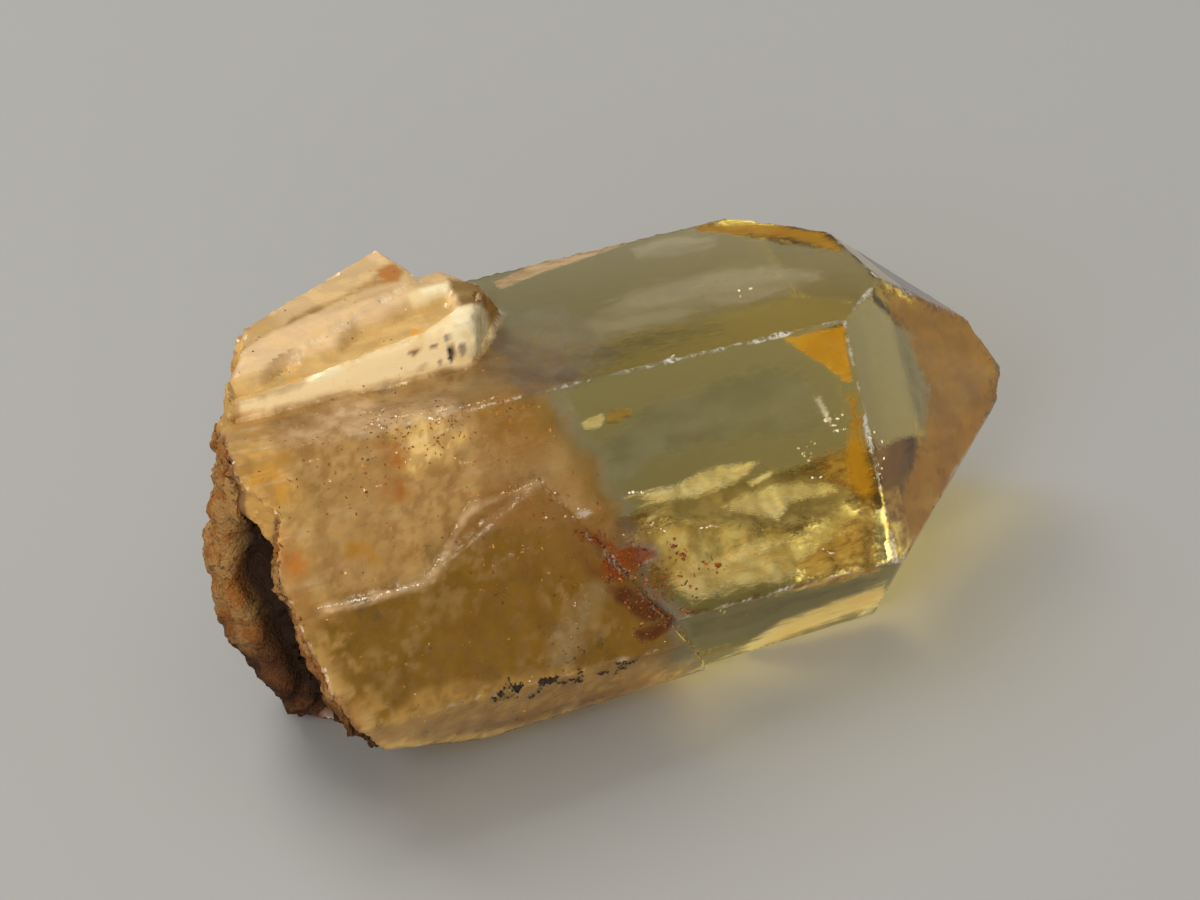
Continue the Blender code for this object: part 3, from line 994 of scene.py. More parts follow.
def make_quartz():
    """Clear, cloudy, frosted and stained quartz."""
    material, tree = new_material("quartz")
    place = mm_place(tree)
    tone = put(tree, "Attribute", attribute_name="tone").outputs["Color"]
    body, cloudy_here, side_here, broken_here, worn_here = (
        mask_of(tree, name) for name in ("body", "cloudy", "side", "broken", "worn"))
    sound = maths(tree, "SUBTRACT", 1.0, broken_here)

    def noise_of(name, where=place):
        return grain(tree, where, *QUARTZ_GRAINS[name])

    def ramp_of(name, value):
        return ramp(tree, value, *QUARTZ_RAMPS[name])

    drifts = noise_of("drifts")
    milk = maths(tree, "MULTIPLY", body, ramp_of("uneven", drifts), clamp=True)
    milk = highest(tree, milk, product(tree, body, ramp_of("full body", body)))
    chip_grain = ramp_of("chip grain", noise_of("chips"))
    chip_milk = product(tree, ramp_of("worn deep", worn_here), chip_grain, CHIP_COVER)
    see_through = maths(tree, "SUBTRACT", 1.0, highest(tree, milk, chip_milk), clamp=True)

    streaks = noise_of("streaks", stretched(tree, place, STREAK_STRETCH, STREAK_TURN))
    green = put(tree, "SeparateColor", {"Color": tone}).outputs["Green"]
    pale = product(tree, ramp_of("pale streaks", streaks), body, ramp_of("not too dark", green), sound)
    colour = mix_colour(tree, pale, tone, PINK_WHITE)
    colour = mix_colour(tree, product(tree, ramp_of("side drifts", drifts), side_here), colour, SIDE_HONEY)
    dark_grain = product(tree, ramp_of("dark grain", noise_of("fine")), body)
    colour = mix_colour(tree, dark_grain, colour, RUST_GRAIN)
    colour = mix_colour(tree, chip_milk, colour, CHIP_WHITE)

    rough = highest(
        tree,
        product(tree, cloudy_here, ramp_of("frost", noise_of("frost"))),
        product(tree, side_here, SIDE_ROUGHNESS),
        product(tree, broken_here, BREAK_ROUGHNESS),
        product(tree, worn_here, CHIP_ROUGHNESS),
        LEAST_ROUGHNESS,
    )
    splinters = product(tree, noise_of("splinters"), product(tree, worn_here, SPLINTER_HEIGHT))
    etching = noise_of("etching", stretched(tree, place, ETCH_STRETCH))
    relief = bumps(tree, maths(tree, "ADD", etching, splinters), *ETCHING)

    stone = put(tree, "BsdfPrincipled", {
        "Base Color": colour,
        "Roughness": rough,
        "Transmission Weight": see_through,
        "IOR": QUARTZ_IOR,
        "Normal": relief,
    })
    shadow = put(tree, "LightPath").outputs["Is Shadow Ray"]
    open_glass = put(tree, "BsdfTransparent", {"Color": SHADOW_TINT})
    density, tint = absorption(HONEY_LOSS)
    inside = put(tree, "VolumeAbsorption", {"Color": tint, "Density": density})
    surface = mix_shader(tree, shadow, stone, open_glass)
    put(tree, "OutputMaterial", {"Surface": surface.outputs[0], "Volume": inside.outputs[0]})
    return material


quartz = make_quartz()
print("nodes in the quartz:", len(quartz.node_tree.nodes))

# %% [markdown]
# ### Finished pieces
# Every visible piece is finished in the same way.  It is scaled to metres, gets its one
# material, is shaded flat or smooth up to an angle, and rides with the crystal.  The worn
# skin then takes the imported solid's place.

# %% Finished pieces
FACET_SMOOTHING = 30.0      # in degrees; sharper edges stay sharp


def finish_piece(name, mesh, material, smooth_angle=None):
    """Turn a mesh in millimetres into a finished piece of the stone."""
    mesh.transform(Matrix.Scale(MM, 4))
    mesh.materials.clear()
    mesh.materials.append(material)
    if smooth_angle is None:
        mesh.shade_flat()
    else:
        mesh.shade_smooth()
        mesh.set_sharp_from_angle(angle=math.radians(smooth_angle))
    piece = link_mesh(name, mesh)
    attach(piece, "root")
    print(name, "has", len(mesh.polygons), "faces")
    return piece


stone = finish_piece("crystal", skin.copy(), quartz, FACET_SMOOTHING)
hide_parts("citrine_crystal")

# %% [markdown]
# ## The cloudy half
# The milky quartz is full of tiny bubbles.  A real fog in the stone would be slow to work
# out and the exported model could not carry it.  Three thin sheets, one inside the other,
# do the same: each is partly open, so the eye looks past one sheet to the next.

# %% Cloud sheets
CLOUD_GRAIN = 0.6
CLOUD_SHARES = {"cloud_outer": 0.93, "cloud_middle": 0.74, "cloud_inner": 0.48}
CLOUD_MIDDLE = np.array(Vector((-6.0, 0.3, 7.4)))   # the sheets are the skin, shrunk towards this point
CLOUD_LUMP = 0.07
CLOUD_LUMP_MEAN = 0.5
CLOUD_LUMP_MOST = 1.5
CLOUD_LUMP_SHIFT = 20.0
CLOUD_ROUNDS = 3
CLOUD_COVER = 0.1           # a sheet stays at least this far below the worn skin, in mm
CLOUD_LEAST = 0.02          # and ends where the cloud is thinner than this
CLOUD_PALE = (0.66, 0.48, 0.215, 1.0)
CLOUD_HONEY = (0.59, 0.38, 0.105, 1.0)
CLOUD_BROWN = (0.40, 0.205, 0.032, 1.0)
WISP_STRETCH = (0.35, 1.0, 1.0)
WISP_TURN = -5.0
WISPS = (0.55, 5.0, 0.62, 0.4)              # waves in a mm, detail, roughness, distortion
WISP_RAMP = (0.34, 0.62, 0.42, 0.88)
PATCHES = (0.6, 4.0, 0.58)
PATCH_RAMP = (0.36, 0.64)
BROWN_PATCHES = (0.4, 4.0, 0.60)
BROWN_RAMP = (0.48, 0.70, 0.0, 0.7)
CLOUD_GLOW = 0.45           # share of the light that goes on through a sheet
SHEET_SMOOTHING = 60.0


def drop_faces(mesh, kept, rounds=0):
    """Remove a mesh's faces unless all their corners are kept, and smooth the rest."""
    shape = bmesh.new()
    shape.from_mesh(mesh)
    gone = [face for face in shape.faces if not all(kept[corner.index] for corner in face.verts)]
    bmesh.ops.delete(shape, geom=gone, context="FACES")
    for _ in range(rounds):
        bmesh.ops.smooth_vert(shape, verts=shape.verts[:], factor=0.5,
                              use_axis_x=True, use_axis_y=True, use_axis_z=True)
    shape.to_mesh(mesh)
    shape.free()


def is_buried(point):
    """Whether a point lies well below the worn skin."""
    place, normal, _, _ = tree_of_skin.find_nearest(point)
    return (place - Vector(point)).dot(normal) > CLOUD_COVER


def soft_sheet(tree, colour, glow, shown):
    """The surface of a thin sheet that is open in part and lets part of the light through."""
    front = put(tree, "BsdfDiffuse", {"Color": colour})
    through = put(tree, "BsdfTranslucent", {"Color": colour})
    milk = mix_shader(tree, glow, front, through)
    surface = mix_shader(tree, shown, put(tree, "BsdfTransparent"), milk)
    put(tree, "OutputMaterial", {"Surface": surface.outputs[0]})


def make_cloud_material():
    """Milky sheets that light passes through in part."""
    material, tree = new_material("milky_quartz")
    place = mm_place(tree)
    wisps = grain(tree, stretched(tree, place, WISP_STRETCH, WISP_TURN), *WISPS)
    shown = product(tree, mask_of(tree, "thick"), ramp(tree, wisps, *WISP_RAMP))
    patchy = ramp(tree, grain(tree, place, *PATCHES), *PATCH_RAMP)
    colour = mix_colour(tree, patchy, CLOUD_HONEY, CLOUD_PALE)
    brown = ramp(tree, grain(tree, place, *BROWN_PATCHES), *BROWN_RAMP)
    soft_sheet(tree, mix_colour(tree, brown, colour, CLOUD_BROWN), CLOUD_GLOW, shown)
    return material


def make_cloud_sheet(name, share, material):
    """The cloudy half of the skin, shrunk to a share of its size and made lumpy."""
    mesh = remeshed(solid, CLOUD_GRAIN)
    outside = points_of(mesh)
    thick = cloudiness(outside)
    lumps = CLOUD_LUMP_MEAN + read_noise(outside, "cloud lumps", CLOUD_LUMP_SHIFT * share)
    size = share * (1.0 - CLOUD_LUMP * np.clip(lumps, 0.0, CLOUD_LUMP_MOST))
    inside = CLOUD_MIDDLE + (outside - CLOUD_MIDDLE) * size[:, None]
    inside = np.column_stack([spread(mesh, inside[:, axis], CLOUD_ROUNDS) for axis in range(3)])
    move_points(mesh, inside)
    keep_mask(mesh, "thick", thick)
    drop_faces(mesh, (thick > CLOUD_LEAST) & np.array([is_buried(point) for point in inside]))
    finish_piece(name, mesh, material, SHEET_SMOOTHING)


tree_of_skin = BVHTree.FromPolygons(points_of(skin).tolist(), [face.vertices[:] for face in skin.polygons])
milky = make_cloud_material()
for sheet_name, sheet_share in CLOUD_SHARES.items():
    make_cloud_sheet(sheet_name, sheet_share, milky)

# %% [markdown]
# ## The root
# The crystal grew on rusty rock, and a crust of it came off with the root.  It is a piece
# of its own: the part of the skin that lies on the break, raised in lumps and grains, and
# given a thickness so that it sits in the quartz as a crust.

# %% Root rock
ROCK_COVER = 0.4            # the rock covers the skin where the masks are higher than this
ROCK_ROUNDS = 3             # rounds of smoothing of its underside
ROCK_UPRIGHT_ROUNDS = 12    # and of the direction in which it is raised
ROCK_LIFT = 0.10
ROCK_LUMP = 0.24
ROCK_LUMPS = 0.55           # lumps in a millimetre
ROCK_GRAIN = 0.26
ROCK_THINNEST = 0.08
ROCK_WALL = 0.25
# painted shade: low down the rock is painted dark, higher up it is rusty and lighter
ROCK_HIGH = (5.0, 8.5)      # the rock turns from dark to rusty between these heights
ROCK_HIGH_WAVE = 1.5
# nearly black: painted shade in the crevice
ROCK_CREVICE_SHADE = (0.022, 0.009, 0.003, 1.0)
ROCK_DARK = (0.042, 0.015, 0.005, 1.0)
ROCK_BROWN = (0.11, 0.040, 0.012, 1.0)
ROCK_ORANGE = (0.29, 0.11, 0.022, 1.0)
ROCK_TAN = (0.37, 0.205, 0.068, 1.0)
ROCK_COARSE = (0.8, 6.0, 0.65)
ROCK_FINE = (3.6, 6.0, 0.7)
ROCK_SAND = 6.5             # sand grains in a millimetre
ROCK_SAND_HEIGHT = 0.6
ROCK_RAMPS = {
    "low": (0.42, 0.62),
    "high": (0.44, 0.56),
    "rusty grains": (0.58, 0.72, 0.0, 0.7),
    "dark grains": (0.46, 0.34, 0.0, 0.8),
    "roughness": (0.35, 0.65, 0.95, 0.55),
}
ROCK_SHINE = 0.2
ROCK_RELIEF = (0.9, 0.15)   # strength, and depth in mm
ROCK_SMOOTHING = 75.0


def lumps_at(points, closeness):
    """Rounded lumps with creases between them, 0 to about 1."""
    return np.array([1.0 - noise.voronoi(Vector(point) * closeness)[0][0] ** 2 for point in points])


def make_rock_material():
    """Granular, rusty rock."""
    material, tree = new_material("rusty_rock")
    place = mm_place(tree)
    coarse = grain(tree, place, *ROCK_COARSE)
    fine = grain(tree, place, *ROCK_FINE)

    def ramp_of(name, value):
        return ramp(tree, value, *ROCK_RAMPS[name])

    # painted shade: dark low down, rusty higher up
    low = mix_colour(tree, ramp_of("low", coarse), ROCK_DARK, ROCK_BROWN)
    high = mix_colour(tree, ramp_of("high", coarse), ROCK_ORANGE, ROCK_TAN)
    colour = mix_colour(tree, mask_of(tree, "top"), low, high)
    colour = mix_colour(tree, ramp_of("rusty grains", fine), colour, ROCK_ORANGE)
    colour = mix_colour(tree, ramp_of("dark grains", fine), colour, ROCK_DARK)
    # painted shade: the rock is painted nearly black in the crevice
    colour = mix_colour(tree, mask_of(tree, "deep"), colour, ROCK_CREVICE_SHADE)
    sand = put(tree, "TexVoronoi", {"Vector": place, "Scale": ROCK_SAND}).outputs["Distance"]
    height = maths(tree, "SUBTRACT", fine, product(tree, sand, ROCK_SAND_HEIGHT))
    rock = put(tree, "BsdfPrincipled", {
        "Base Color": colour,
        "Roughness": ramp_of("roughness", fine),
        "Specular IOR Level": ROCK_SHINE,
        "Normal": bumps(tree, height, *ROCK_RELIEF),
    })
    put(tree, "OutputMaterial", {"Surface": rock.outputs[0]})
    return material


def make_root_rock():
    """A lumpy crust over the break."""
    mesh = skin.copy()
    # the crevice, where the rock is painted nearly black as painted shade
    keep_mask(mesh, "deep", crevice)
    drop_faces(mesh, np.minimum(broken, rocky) > ROCK_COVER, ROCK_ROUNDS)
    points = points_of(mesh)
    upright = normals_of(mesh)
    upright = np.column_stack([spread(mesh, upright[:, axis], ROCK_UPRIGHT_ROUNDS) for axis in range(3)])
    upright /= np.linalg.norm(upright, axis=1)[:, None]
    height = ROCK_LIFT + ROCK_LUMP * lumps_at(points, ROCK_LUMPS)
    height += ROCK_GRAIN * read_noise(points, "rock grain")
    move_points(mesh, points + upright * np.clip(height, ROCK_THINNEST, None)[:, None])
    wandering_height = points[:, 2] + ROCK_HIGH_WAVE * read_noise(points, "rock tone")
    keep_mask(mesh, "top", smooth_step(*ROCK_HIGH, wandering_height))
    piece = link_mesh("crust", mesh)
    wall = piece.modifiers.new("wall", "SOLIDIFY")
    wall.thickness = ROCK_WALL
    wall.offset = -1.0
    finish_piece("root_rock", applied(piece), make_rock_material(), ROCK_SMOOTHING)


make_root_rock()

# %% [markdown]
# ## What is sealed in the stone
# A mark inside the stone is seen through its skin, which bends the light.  A helper follows
# a line of sight to the skin, bends it as quartz does, and goes on to a depth.  So a veil
# can be drawn where it appears, and still lies at its true depth when seen from the side.
# The veils are tables: an outline, a depth, a material, and how the sheet is shaped.

# %% Places inside the stone
RIPPLE_CLOSENESS = 0.03         # ripples of a sheet for each picture point
RIPPLE_SHIFT = 7.0              # sheets at different depths ripple differently
RIPPLE_NOISE = (0.9, 2.0, 3)    # fall and step of the octaves, and how many


def bent(ray, normal):
    """The ray's direction after it has entered the quartz."""
    straight = -ray.dot(normal)
    along = math.sqrt(max(0.0, 1.0 - (1.0 - straight * straight) / QUARTZ_IOR ** 2))
    return ray / QUARTZ_IOR + normal * (straight / QUARTZ_IOR - along)


def inside_point(x, y, depth):
    """The place that is seen at a picture point, at a depth in mm behind the skin."""
    ray = sight(x, y)
    place, normal, _, _ = tree_of_faces.ray_cast(camera_place, ray)
    if place is None:
        return None
    return place + bent(ray, normal) * depth


def sealed_sheet(name, outline, depth, material, slope=0.0, ripple=0.3, soft=6.0, step=2.5):
    """A thin rippled sheet that fills an outline of picture points, at a depth in the stone."""
    corners = np.array(outline, float)
    low, high = corners.min(0) - step, corners.max(0) + step
    middle = corners.mean(0)
    columns, rows = (int(n) + 1 for n in (high - low) / step)
    grid = np.array([low + step * np.array((c, r)) for r in range(rows) for c in range(columns)])
    shape = bmesh.new()
    made = {}
    thick = []
    for number, (seen, room) in enumerate(zip(grid, outline_depth(grid, outline))):
        if room < -step:
            continue
        rippled = Vector((seen[0], seen[1], RIPPLE_SHIFT * depth)) * RIPPLE_CLOSENESS
        wave = ripple * noise.fractal(rippled, *RIPPLE_NOISE)
        place = inside_point(*seen, depth + slope * (middle[1] - seen[1]) + wave)
        if place is not None:
            made[number] = shape.verts.new(place)
            thick.append(min(max(room / soft, 0.0), 1.0))
    for number in made:
        square = (number, number + 1, number + columns + 1, number + columns)
        if (number + 1) % columns and all(corner in made for corner in square):
            shape.faces.new([made[corner] for corner in reversed(square)])
    mesh = bpy.data.meshes.new(name)
    shape.to_mesh(mesh)
    shape.free()
    keep_mask(mesh, "thick", np.array(thick))
    finish_piece(name, mesh, material, SHEET_SMOOTHING)


def seal_sheets(sheets):
    """Make every sheet of a table with the veil it names."""
    for name, (outline, depth, veil, shape) in sheets.items():
        sealed_sheet(name, outline, depth, veils[veil], **shape)


seen_first = inside_point(PICTURE[0] / 2, PICTURE[1] / 2, 1.0)
print("1 mm inside, behind the middle of the picture:", [round(v, 2) for v in seen_first])

# %% [markdown]
# ### Veil materials
# One recipe makes every veil: streaks of noise between two colours, open between them and
# frayed along the rim.  Drawn out and fine they are feathers, wide and faint they are haze.
# Half the light goes on through the sheet, so a veil also shows when it is lit from behind.

# %% Veil materials
VEIL_TURN = -4.0                # degrees; the streaks run along the crystal
VEIL_STREAKS = (5.0, 0.65, 0.3)     # detail, roughness and distortion
FRAY_STRETCH = (0.9, 4.0, 4.0)
FRAY_FINENESS = 2.2             # the frays are this much finer than the streaks
FRAY_NOISE = (4.0, 0.7)
FRAY_MEAN = 0.5
THIN_RIM = (0.0, 1.0, 0.25, -0.05)  # towards the rim only the thickest streaks stay
BORDER_MEAN = 0.56
BORDER_FRAY = 1.6
BORDER_FADE = (0.0, 0.9)
TONE_FINENESS = 1.7
TONE_DETAIL = 4.0
TONE_RAMP = (0.35, 0.62)
STREAKY = (0.25, 1.5, 1.5)
EVEN = (1.0, 1.0, 1.0)          # no streaks, only clouds
LONG = (0.6, 1.0, 1.0)          # clouds drawn out along the crystal
LONGER = (0.5, 1.0, 1.0)
veils = {}


def make_veil(name, dark, pale, cover, stretch=STREAKY, scale=1.0, most=0.95, glow=0.5):
    """A sheet of fine streaks between two colours, open between them."""
    material, tree = new_material(name)
    place = mm_place(tree)
    drawn = stretched(tree, place, stretch, VEIL_TURN)
    streaks = grain(tree, drawn, scale, *VEIL_STREAKS)
    rim = mask_of(tree, "thick")
    frayed = stretched(tree, place, FRAY_STRETCH, VEIL_TURN)
    frayed = grain(tree, frayed, FRAY_FINENESS * scale, *FRAY_NOISE)
    frayed_rim = maths(tree, "ADD", rim, maths(tree, "SUBTRACT", frayed, FRAY_MEAN))
    filled = maths(tree, "SUBTRACT", streaks, ramp(tree, frayed_rim, *THIN_RIM))
    border = product(tree, maths(tree, "SUBTRACT", frayed, BORDER_MEAN), BORDER_FRAY)
    border = ramp(tree, maths(tree, "ADD", rim, border), *BORDER_FADE)
    shown = product(tree, ramp(tree, filled, *cover, 0.0, most), border)
    tones = ramp(tree, grain(tree, drawn, TONE_FINENESS * scale, TONE_DETAIL), *TONE_RAMP)
    soft_sheet(tree, mix_colour(tree, tones, dark, pale), glow, shown)
    return material


def make_veils(recipes):
    """Make every veil material of a table."""
    for name, (dark, pale, look) in recipes.items():
        veils[name] = make_veil(name, dark + (1.0,), pale + (1.0,), **look)
    print("veil materials:", ", ".join(recipes))


# %% [markdown]
# ### Golden veils
# In the clear half hang two feathers of golden veil, healed cracks that catch the light,
# with short tassels beside them.  A real veil is a film of tiny bubbles.  A streaky sheet
# that is open between its streaks looks the same and stays light to work with.  A dim sheet
# just behind the feathers makes them stand out.

# %% Feathers
UPPER_FEATHER = [(630, 496), (650, 487), (671, 482), (696, 469), (722, 460), (745, 459), (768, 457),
                 (752, 476), (726, 492), (692, 501), (657, 506), (636, 502)]
LOWER_FEATHER = [(710, 510), (732, 494), (752, 486), (777, 479), (800, 478), (834, 480), (850, 494),
                 (816, 502), (794, 507), (786, 516), (780, 526), (760, 520), (738, 516)]
FEATHER_GROUND = [(636, 506), (690, 482), (770, 460), (850, 466), (866, 498), (840, 524), (770, 538),
                  (700, 532), (650, 526)]
TASSELS = [
    [(620, 497), (650, 486), (668, 484), (660, 490), (640, 497), (624, 502)],
    [(628, 508), (650, 499), (676, 494), (668, 502), (640, 510)],
    [(640, 520), (656, 508), (678, 500), (668, 514), (648, 526)],
    [(724, 470), (745, 462), (759, 458), (752, 468), (736, 476)],
    [(742, 482), (766, 470), (778, 468), (772, 478), (752, 490)],
]
TASSEL_SHAPE = dict(slope=0.05, ripple=0.3, soft=5.0, step=1.2)
GOLD_DARK = (0.98, 0.82, 0.38)
GOLD_PALE = (1.0, 0.96, 0.66)
FEATHER_VEILS = {
    # dark and pale colour, and the look of the streaks
    "golden_veil": (GOLD_DARK, GOLD_PALE,
                    dict(cover=(0.18, 0.36), stretch=(0.5, 2.6, 2.6), scale=1.2, most=0.97)),
    "dim_veil": ((0.36, 0.31, 0.14), (0.56, 0.48, 0.24),
                 dict(cover=(0.12, 0.45), stretch=LONG, scale=0.8, most=0.75)),
}
FEATHER_SHEETS = {
    # outline, depth in mm, veil, and the shape of the sheet
    "upper_feather": (UPPER_FEATHER, 1.6, "golden_veil", dict(slope=0.05, ripple=0.4, soft=9.0, step=1.5)),
    "lower_feather": (LOWER_FEATHER, 1.8, "golden_veil", dict(slope=0.05, ripple=0.5, soft=10.0, step=1.5)),
    "feather_ground": (FEATHER_GROUND, 2.05, "dim_veil", dict(slope=0.05, ripple=0.4, soft=18.0)),
}
make_veils(FEATHER_VEILS)
seal_sheets(FEATHER_SHEETS)
seal_sheets({f"tassel_{number}": (tassel, 1.7, "golden_veil", TASSEL_SHAPE)
             for number, tassel in enumerate(TASSELS, 1)})

# %% [markdown]
# ### Haze, smear and flakes
# Below the feathers the stone is hazy.  A golden swoosh with an orange smear lies under
# them, two small flakes hang above them, and thin khaki sheets fill the space between.

# %% Haze, smear and flakes
SWOOSH = [(742, 536), (766, 530), (795, 528), (830, 517), (850, 505), (856, 518), (832, 535), (795, 545),
          (768, 557), (745, 566), (705, 566), (722, 552)]
ORANGE_SMEAR = [(700, 566), (716, 556), (738, 549), (762, 541), (775, 545), (756, 557), (730, 563)]
GOLDEN_HAZE = [(655, 566), (700, 548), (742, 542), (800, 532), (866, 522), (882, 560), (806, 590),
               (730, 604), (690, 612), (664, 594)]
GOLD_FLAKE = [(579, 422), (590, 416), (603, 411), (607, 417), (602, 429), (583, 431)]
BROWN_FLAKE = [(604, 410), (622, 405), (638, 406), (634, 418), (618, 426), (604, 427)]
LOW_HAZE = [(600, 535), (640, 508), (700, 500), (790, 515), (868, 480), (884, 545), (880, 566), (800, 586),
            (690, 614), (660, 590), (625, 560)]
RIGHT_HAZE = [(800, 455), (866, 430), (884, 500), (888, 562), (876, 576), (800, 594), (784, 562),
              (826, 528), (850, 506), (820, 490)]
HAZE_DARK = (0.86, 0.69, 0.32)
HAZE_PALE = (1.0, 0.92, 0.58)
HAZE_VEILS = {
    "thin_haze": (HAZE_DARK, HAZE_PALE, dict(cover=(0.24, 0.58), stretch=LONG, scale=0.8, most=0.84)),
    "thin_gold": (HAZE_DARK, GOLD_PALE,
                  dict(cover=(0.20, 0.60), stretch=(0.4, 1.4, 1.4), scale=0.9, most=0.55)),
    "orange_veil": ((0.70, 0.30, 0.04), (0.95, 0.58, 0.14), dict(cover=(0.30, 0.50), scale=1.4, most=0.85)),
    "brown_veil": ((0.30, 0.16, 0.02), (0.62, 0.42, 0.10), dict(cover=(0.22, 0.46), most=0.80)),
}
HAZE_SHEETS = {
    "swoosh_veil": (SWOOSH, 2.2, "golden_veil", dict(slope=0.04, ripple=0.5, soft=14.0, step=2.0)),
    "golden_haze": (GOLDEN_HAZE, 1.5, "thin_gold", dict(slope=0.04, ripple=0.5, soft=20.0)),
    "orange_smear": (ORANGE_SMEAR, 1.8, "orange_veil", dict(slope=0.04, soft=9.0, step=2.0)),
    "gold_flake": (GOLD_FLAKE, 2.2, "golden_veil", dict(slope=0.05, soft=3.0)),
    "brown_flake": (BROWN_FLAKE, 2.8, "brown_veil", dict(slope=0.05, soft=5.0)),
    "low_haze": (LOW_HAZE, 2.8, "thin_haze", dict(slope=0.03, ripple=0.7, soft=26.0)),
    "right_haze": (RIGHT_HAZE, 2.2, "brown_veil", dict(slope=0.02, ripple=0.7, soft=18.0)),
}
make_veils(HAZE_VEILS)
seal_sheets(HAZE_SHEETS)

# %% [markdown]
# ### Painted amber light
# Under the faces of the tip and along the edge of the front face the stone glows amber, and
# in one corner nearly orange, with light mirrored inside it.  That glow is painted light:
# each zone is an amber sheet close under the skin, so it keeps to its face from every side.

# %% Painted amber light
# outlines of the painted amber light, the glow of light mirrored inside the stone
TIP_AMBER = [(872, 276), (930, 296), (978, 314), (1004, 358), (1002, 404), (984, 446), (958, 496),
             (928, 542), (900, 570), (888, 540), (898, 480), (916, 430), (920, 388), (900, 342), (880, 306)]
TIP_FOOT = [(880, 490), (900, 482), (910, 520), (908, 548), (896, 568), (890, 563), (886, 545), (882, 515)]
CORNER_AMBER = [(776, 337), (846, 322), (856, 384), (842, 384), (820, 366), (796, 352)]
EDGE_AMBER = [(838, 388), (860, 386), (870, 440), (882, 492), (868, 508), (846, 494), (836, 450),
              (846, 420)]
AMBER_VEILS = {
    # painted light: amber sheets for the glow
    "amber_zone": ((0.50, 0.25, 0.003), (0.61, 0.325, 0.005),
                   dict(cover=(0.04, 0.30), stretch=EVEN, scale=0.2, most=0.90)),
    # painted light: the nearly orange glow in one corner
    "glowing_amber": ((0.72, 0.36, 0.008), (0.84, 0.48, 0.02),
                      dict(cover=(0.05, 0.30), stretch=EVEN, scale=0.3, most=0.92)),
}
AMBER_SHEETS = {
    # the tip, corner and edge sheets are painted amber light
    "tip_amber": (TIP_AMBER, 0.8, "amber_zone", dict(ripple=0.2, soft=16.0)),
    "tip_foot": (TIP_FOOT, 0.5, "brown_veil", dict(ripple=0.1, soft=4.0, step=1.5)),
    "corner_amber": (CORNER_AMBER, 0.6, "glowing_amber", dict(ripple=0.1, soft=7.0, step=2.0)),
    "edge_amber": (EDGE_AMBER, 0.8, "amber_zone", dict(ripple=0.1, soft=14.0, step=2.0)),
}
make_veils(AMBER_VEILS)
seal_sheets(AMBER_SHEETS)

# %% [markdown]
# ### Painted glints
# Five white sheets are painted highlights where the stone flashes: two flat ones by the corner
# in the stone, and three drawn as white nicks in the cloudy skin.  The nicks lie just over
# the skin, so nothing hides them.

# %% Painted glints
# painted highlights where the stone flashes; those at a depth below zero lie on the skin
PAINTED_GLINTS = [
    # depth in mm, outline
    (0.6, [(810, 396), (822, 392), (830, 408), (836, 426), (828, 428), (818, 414)]),
    (0.4, [(834, 430), (842, 426), (854, 426), (846, 432), (838, 434)]),
    (-0.015, [(571, 511), (578, 506), (590, 506), (597, 513), (588, 521), (575, 519)]),
    (-0.015, [(488, 566), (498, 556), (514, 548), (526, 543), (520, 553), (506, 562), (494, 570)]),
    (-0.015, [(448, 462), (456, 456), (466, 458), (474, 460), (464, 466), (454, 466)]),
]
GLINT_SHEET_SHAPE = dict(ripple=0.1, soft=7.0, step=1.2)
GLINT_SHEET_VEILS = {
    "bright_crack": ((0.86, 0.84, 0.74), (1.0, 0.98, 0.92), dict(cover=(0.10, 0.50), scale=1.6, most=0.6)),
}
make_veils(GLINT_SHEET_VEILS)
seal_sheets({f"bright_crack_{number}": (outline, depth, "bright_crack", GLINT_SHEET_SHAPE)
             for number, (depth, outline) in enumerate(PAINTED_GLINTS, 1)})

# %% [markdown]
# ### Painted reflections, painted shade and mist
# Along its edges a clear stone shows what lies behind it, drawn together: an amber rim on
# top, a yellow band low in front, and dark lines where two faces meet.  The sheets here
# stand in for that as painted reflections and painted shade.  Others give the grey mist
# under the upper faces, and a dark grey sheet there darkens the clear half.

# %% Painted reflections, painted shade and mist
# painted reflections: the amber rim on top, the yellow band low in front and the yellow at the foot
TOP_AMBER = [(690, 222), (760, 219), (820, 228), (850, 250), (838, 256), (790, 242), (730, 238), (696, 236)]
LIT_BAND = [(728, 652), (780, 618), (830, 598), (890, 577), (890, 606), (846, 621), (804, 637), (754, 657)]
FOOT_YELLOW = [(560, 712), (640, 690), (700, 664), (742, 644), (748, 650), (706, 672), (640, 702),
               (566, 724)]
# painted shade: dark lines where two faces meet
EDGE_SHADE = [(684, 620), (760, 600), (830, 586), (884, 570), (882, 584), (840, 594), (790, 610),
              (742, 632), (690, 644)]
RIDGE_SHADE = [(548, 380), (566, 342), (640, 322), (724, 312), (744, 336), (650, 362), (575, 388)]
BACK_STRIP = [(488, 282), (530, 262), (580, 246), (640, 232), (650, 238), (600, 256), (548, 274),
              (500, 292)]
FROSTED = [(622, 246), (660, 234), (720, 232), (724, 250), (680, 262), (634, 264)]
GREY_MIST = [(560, 330), (600, 292), (660, 270), (760, 250), (828, 262), (838, 286), (780, 306), (690, 330),
             (600, 352)]
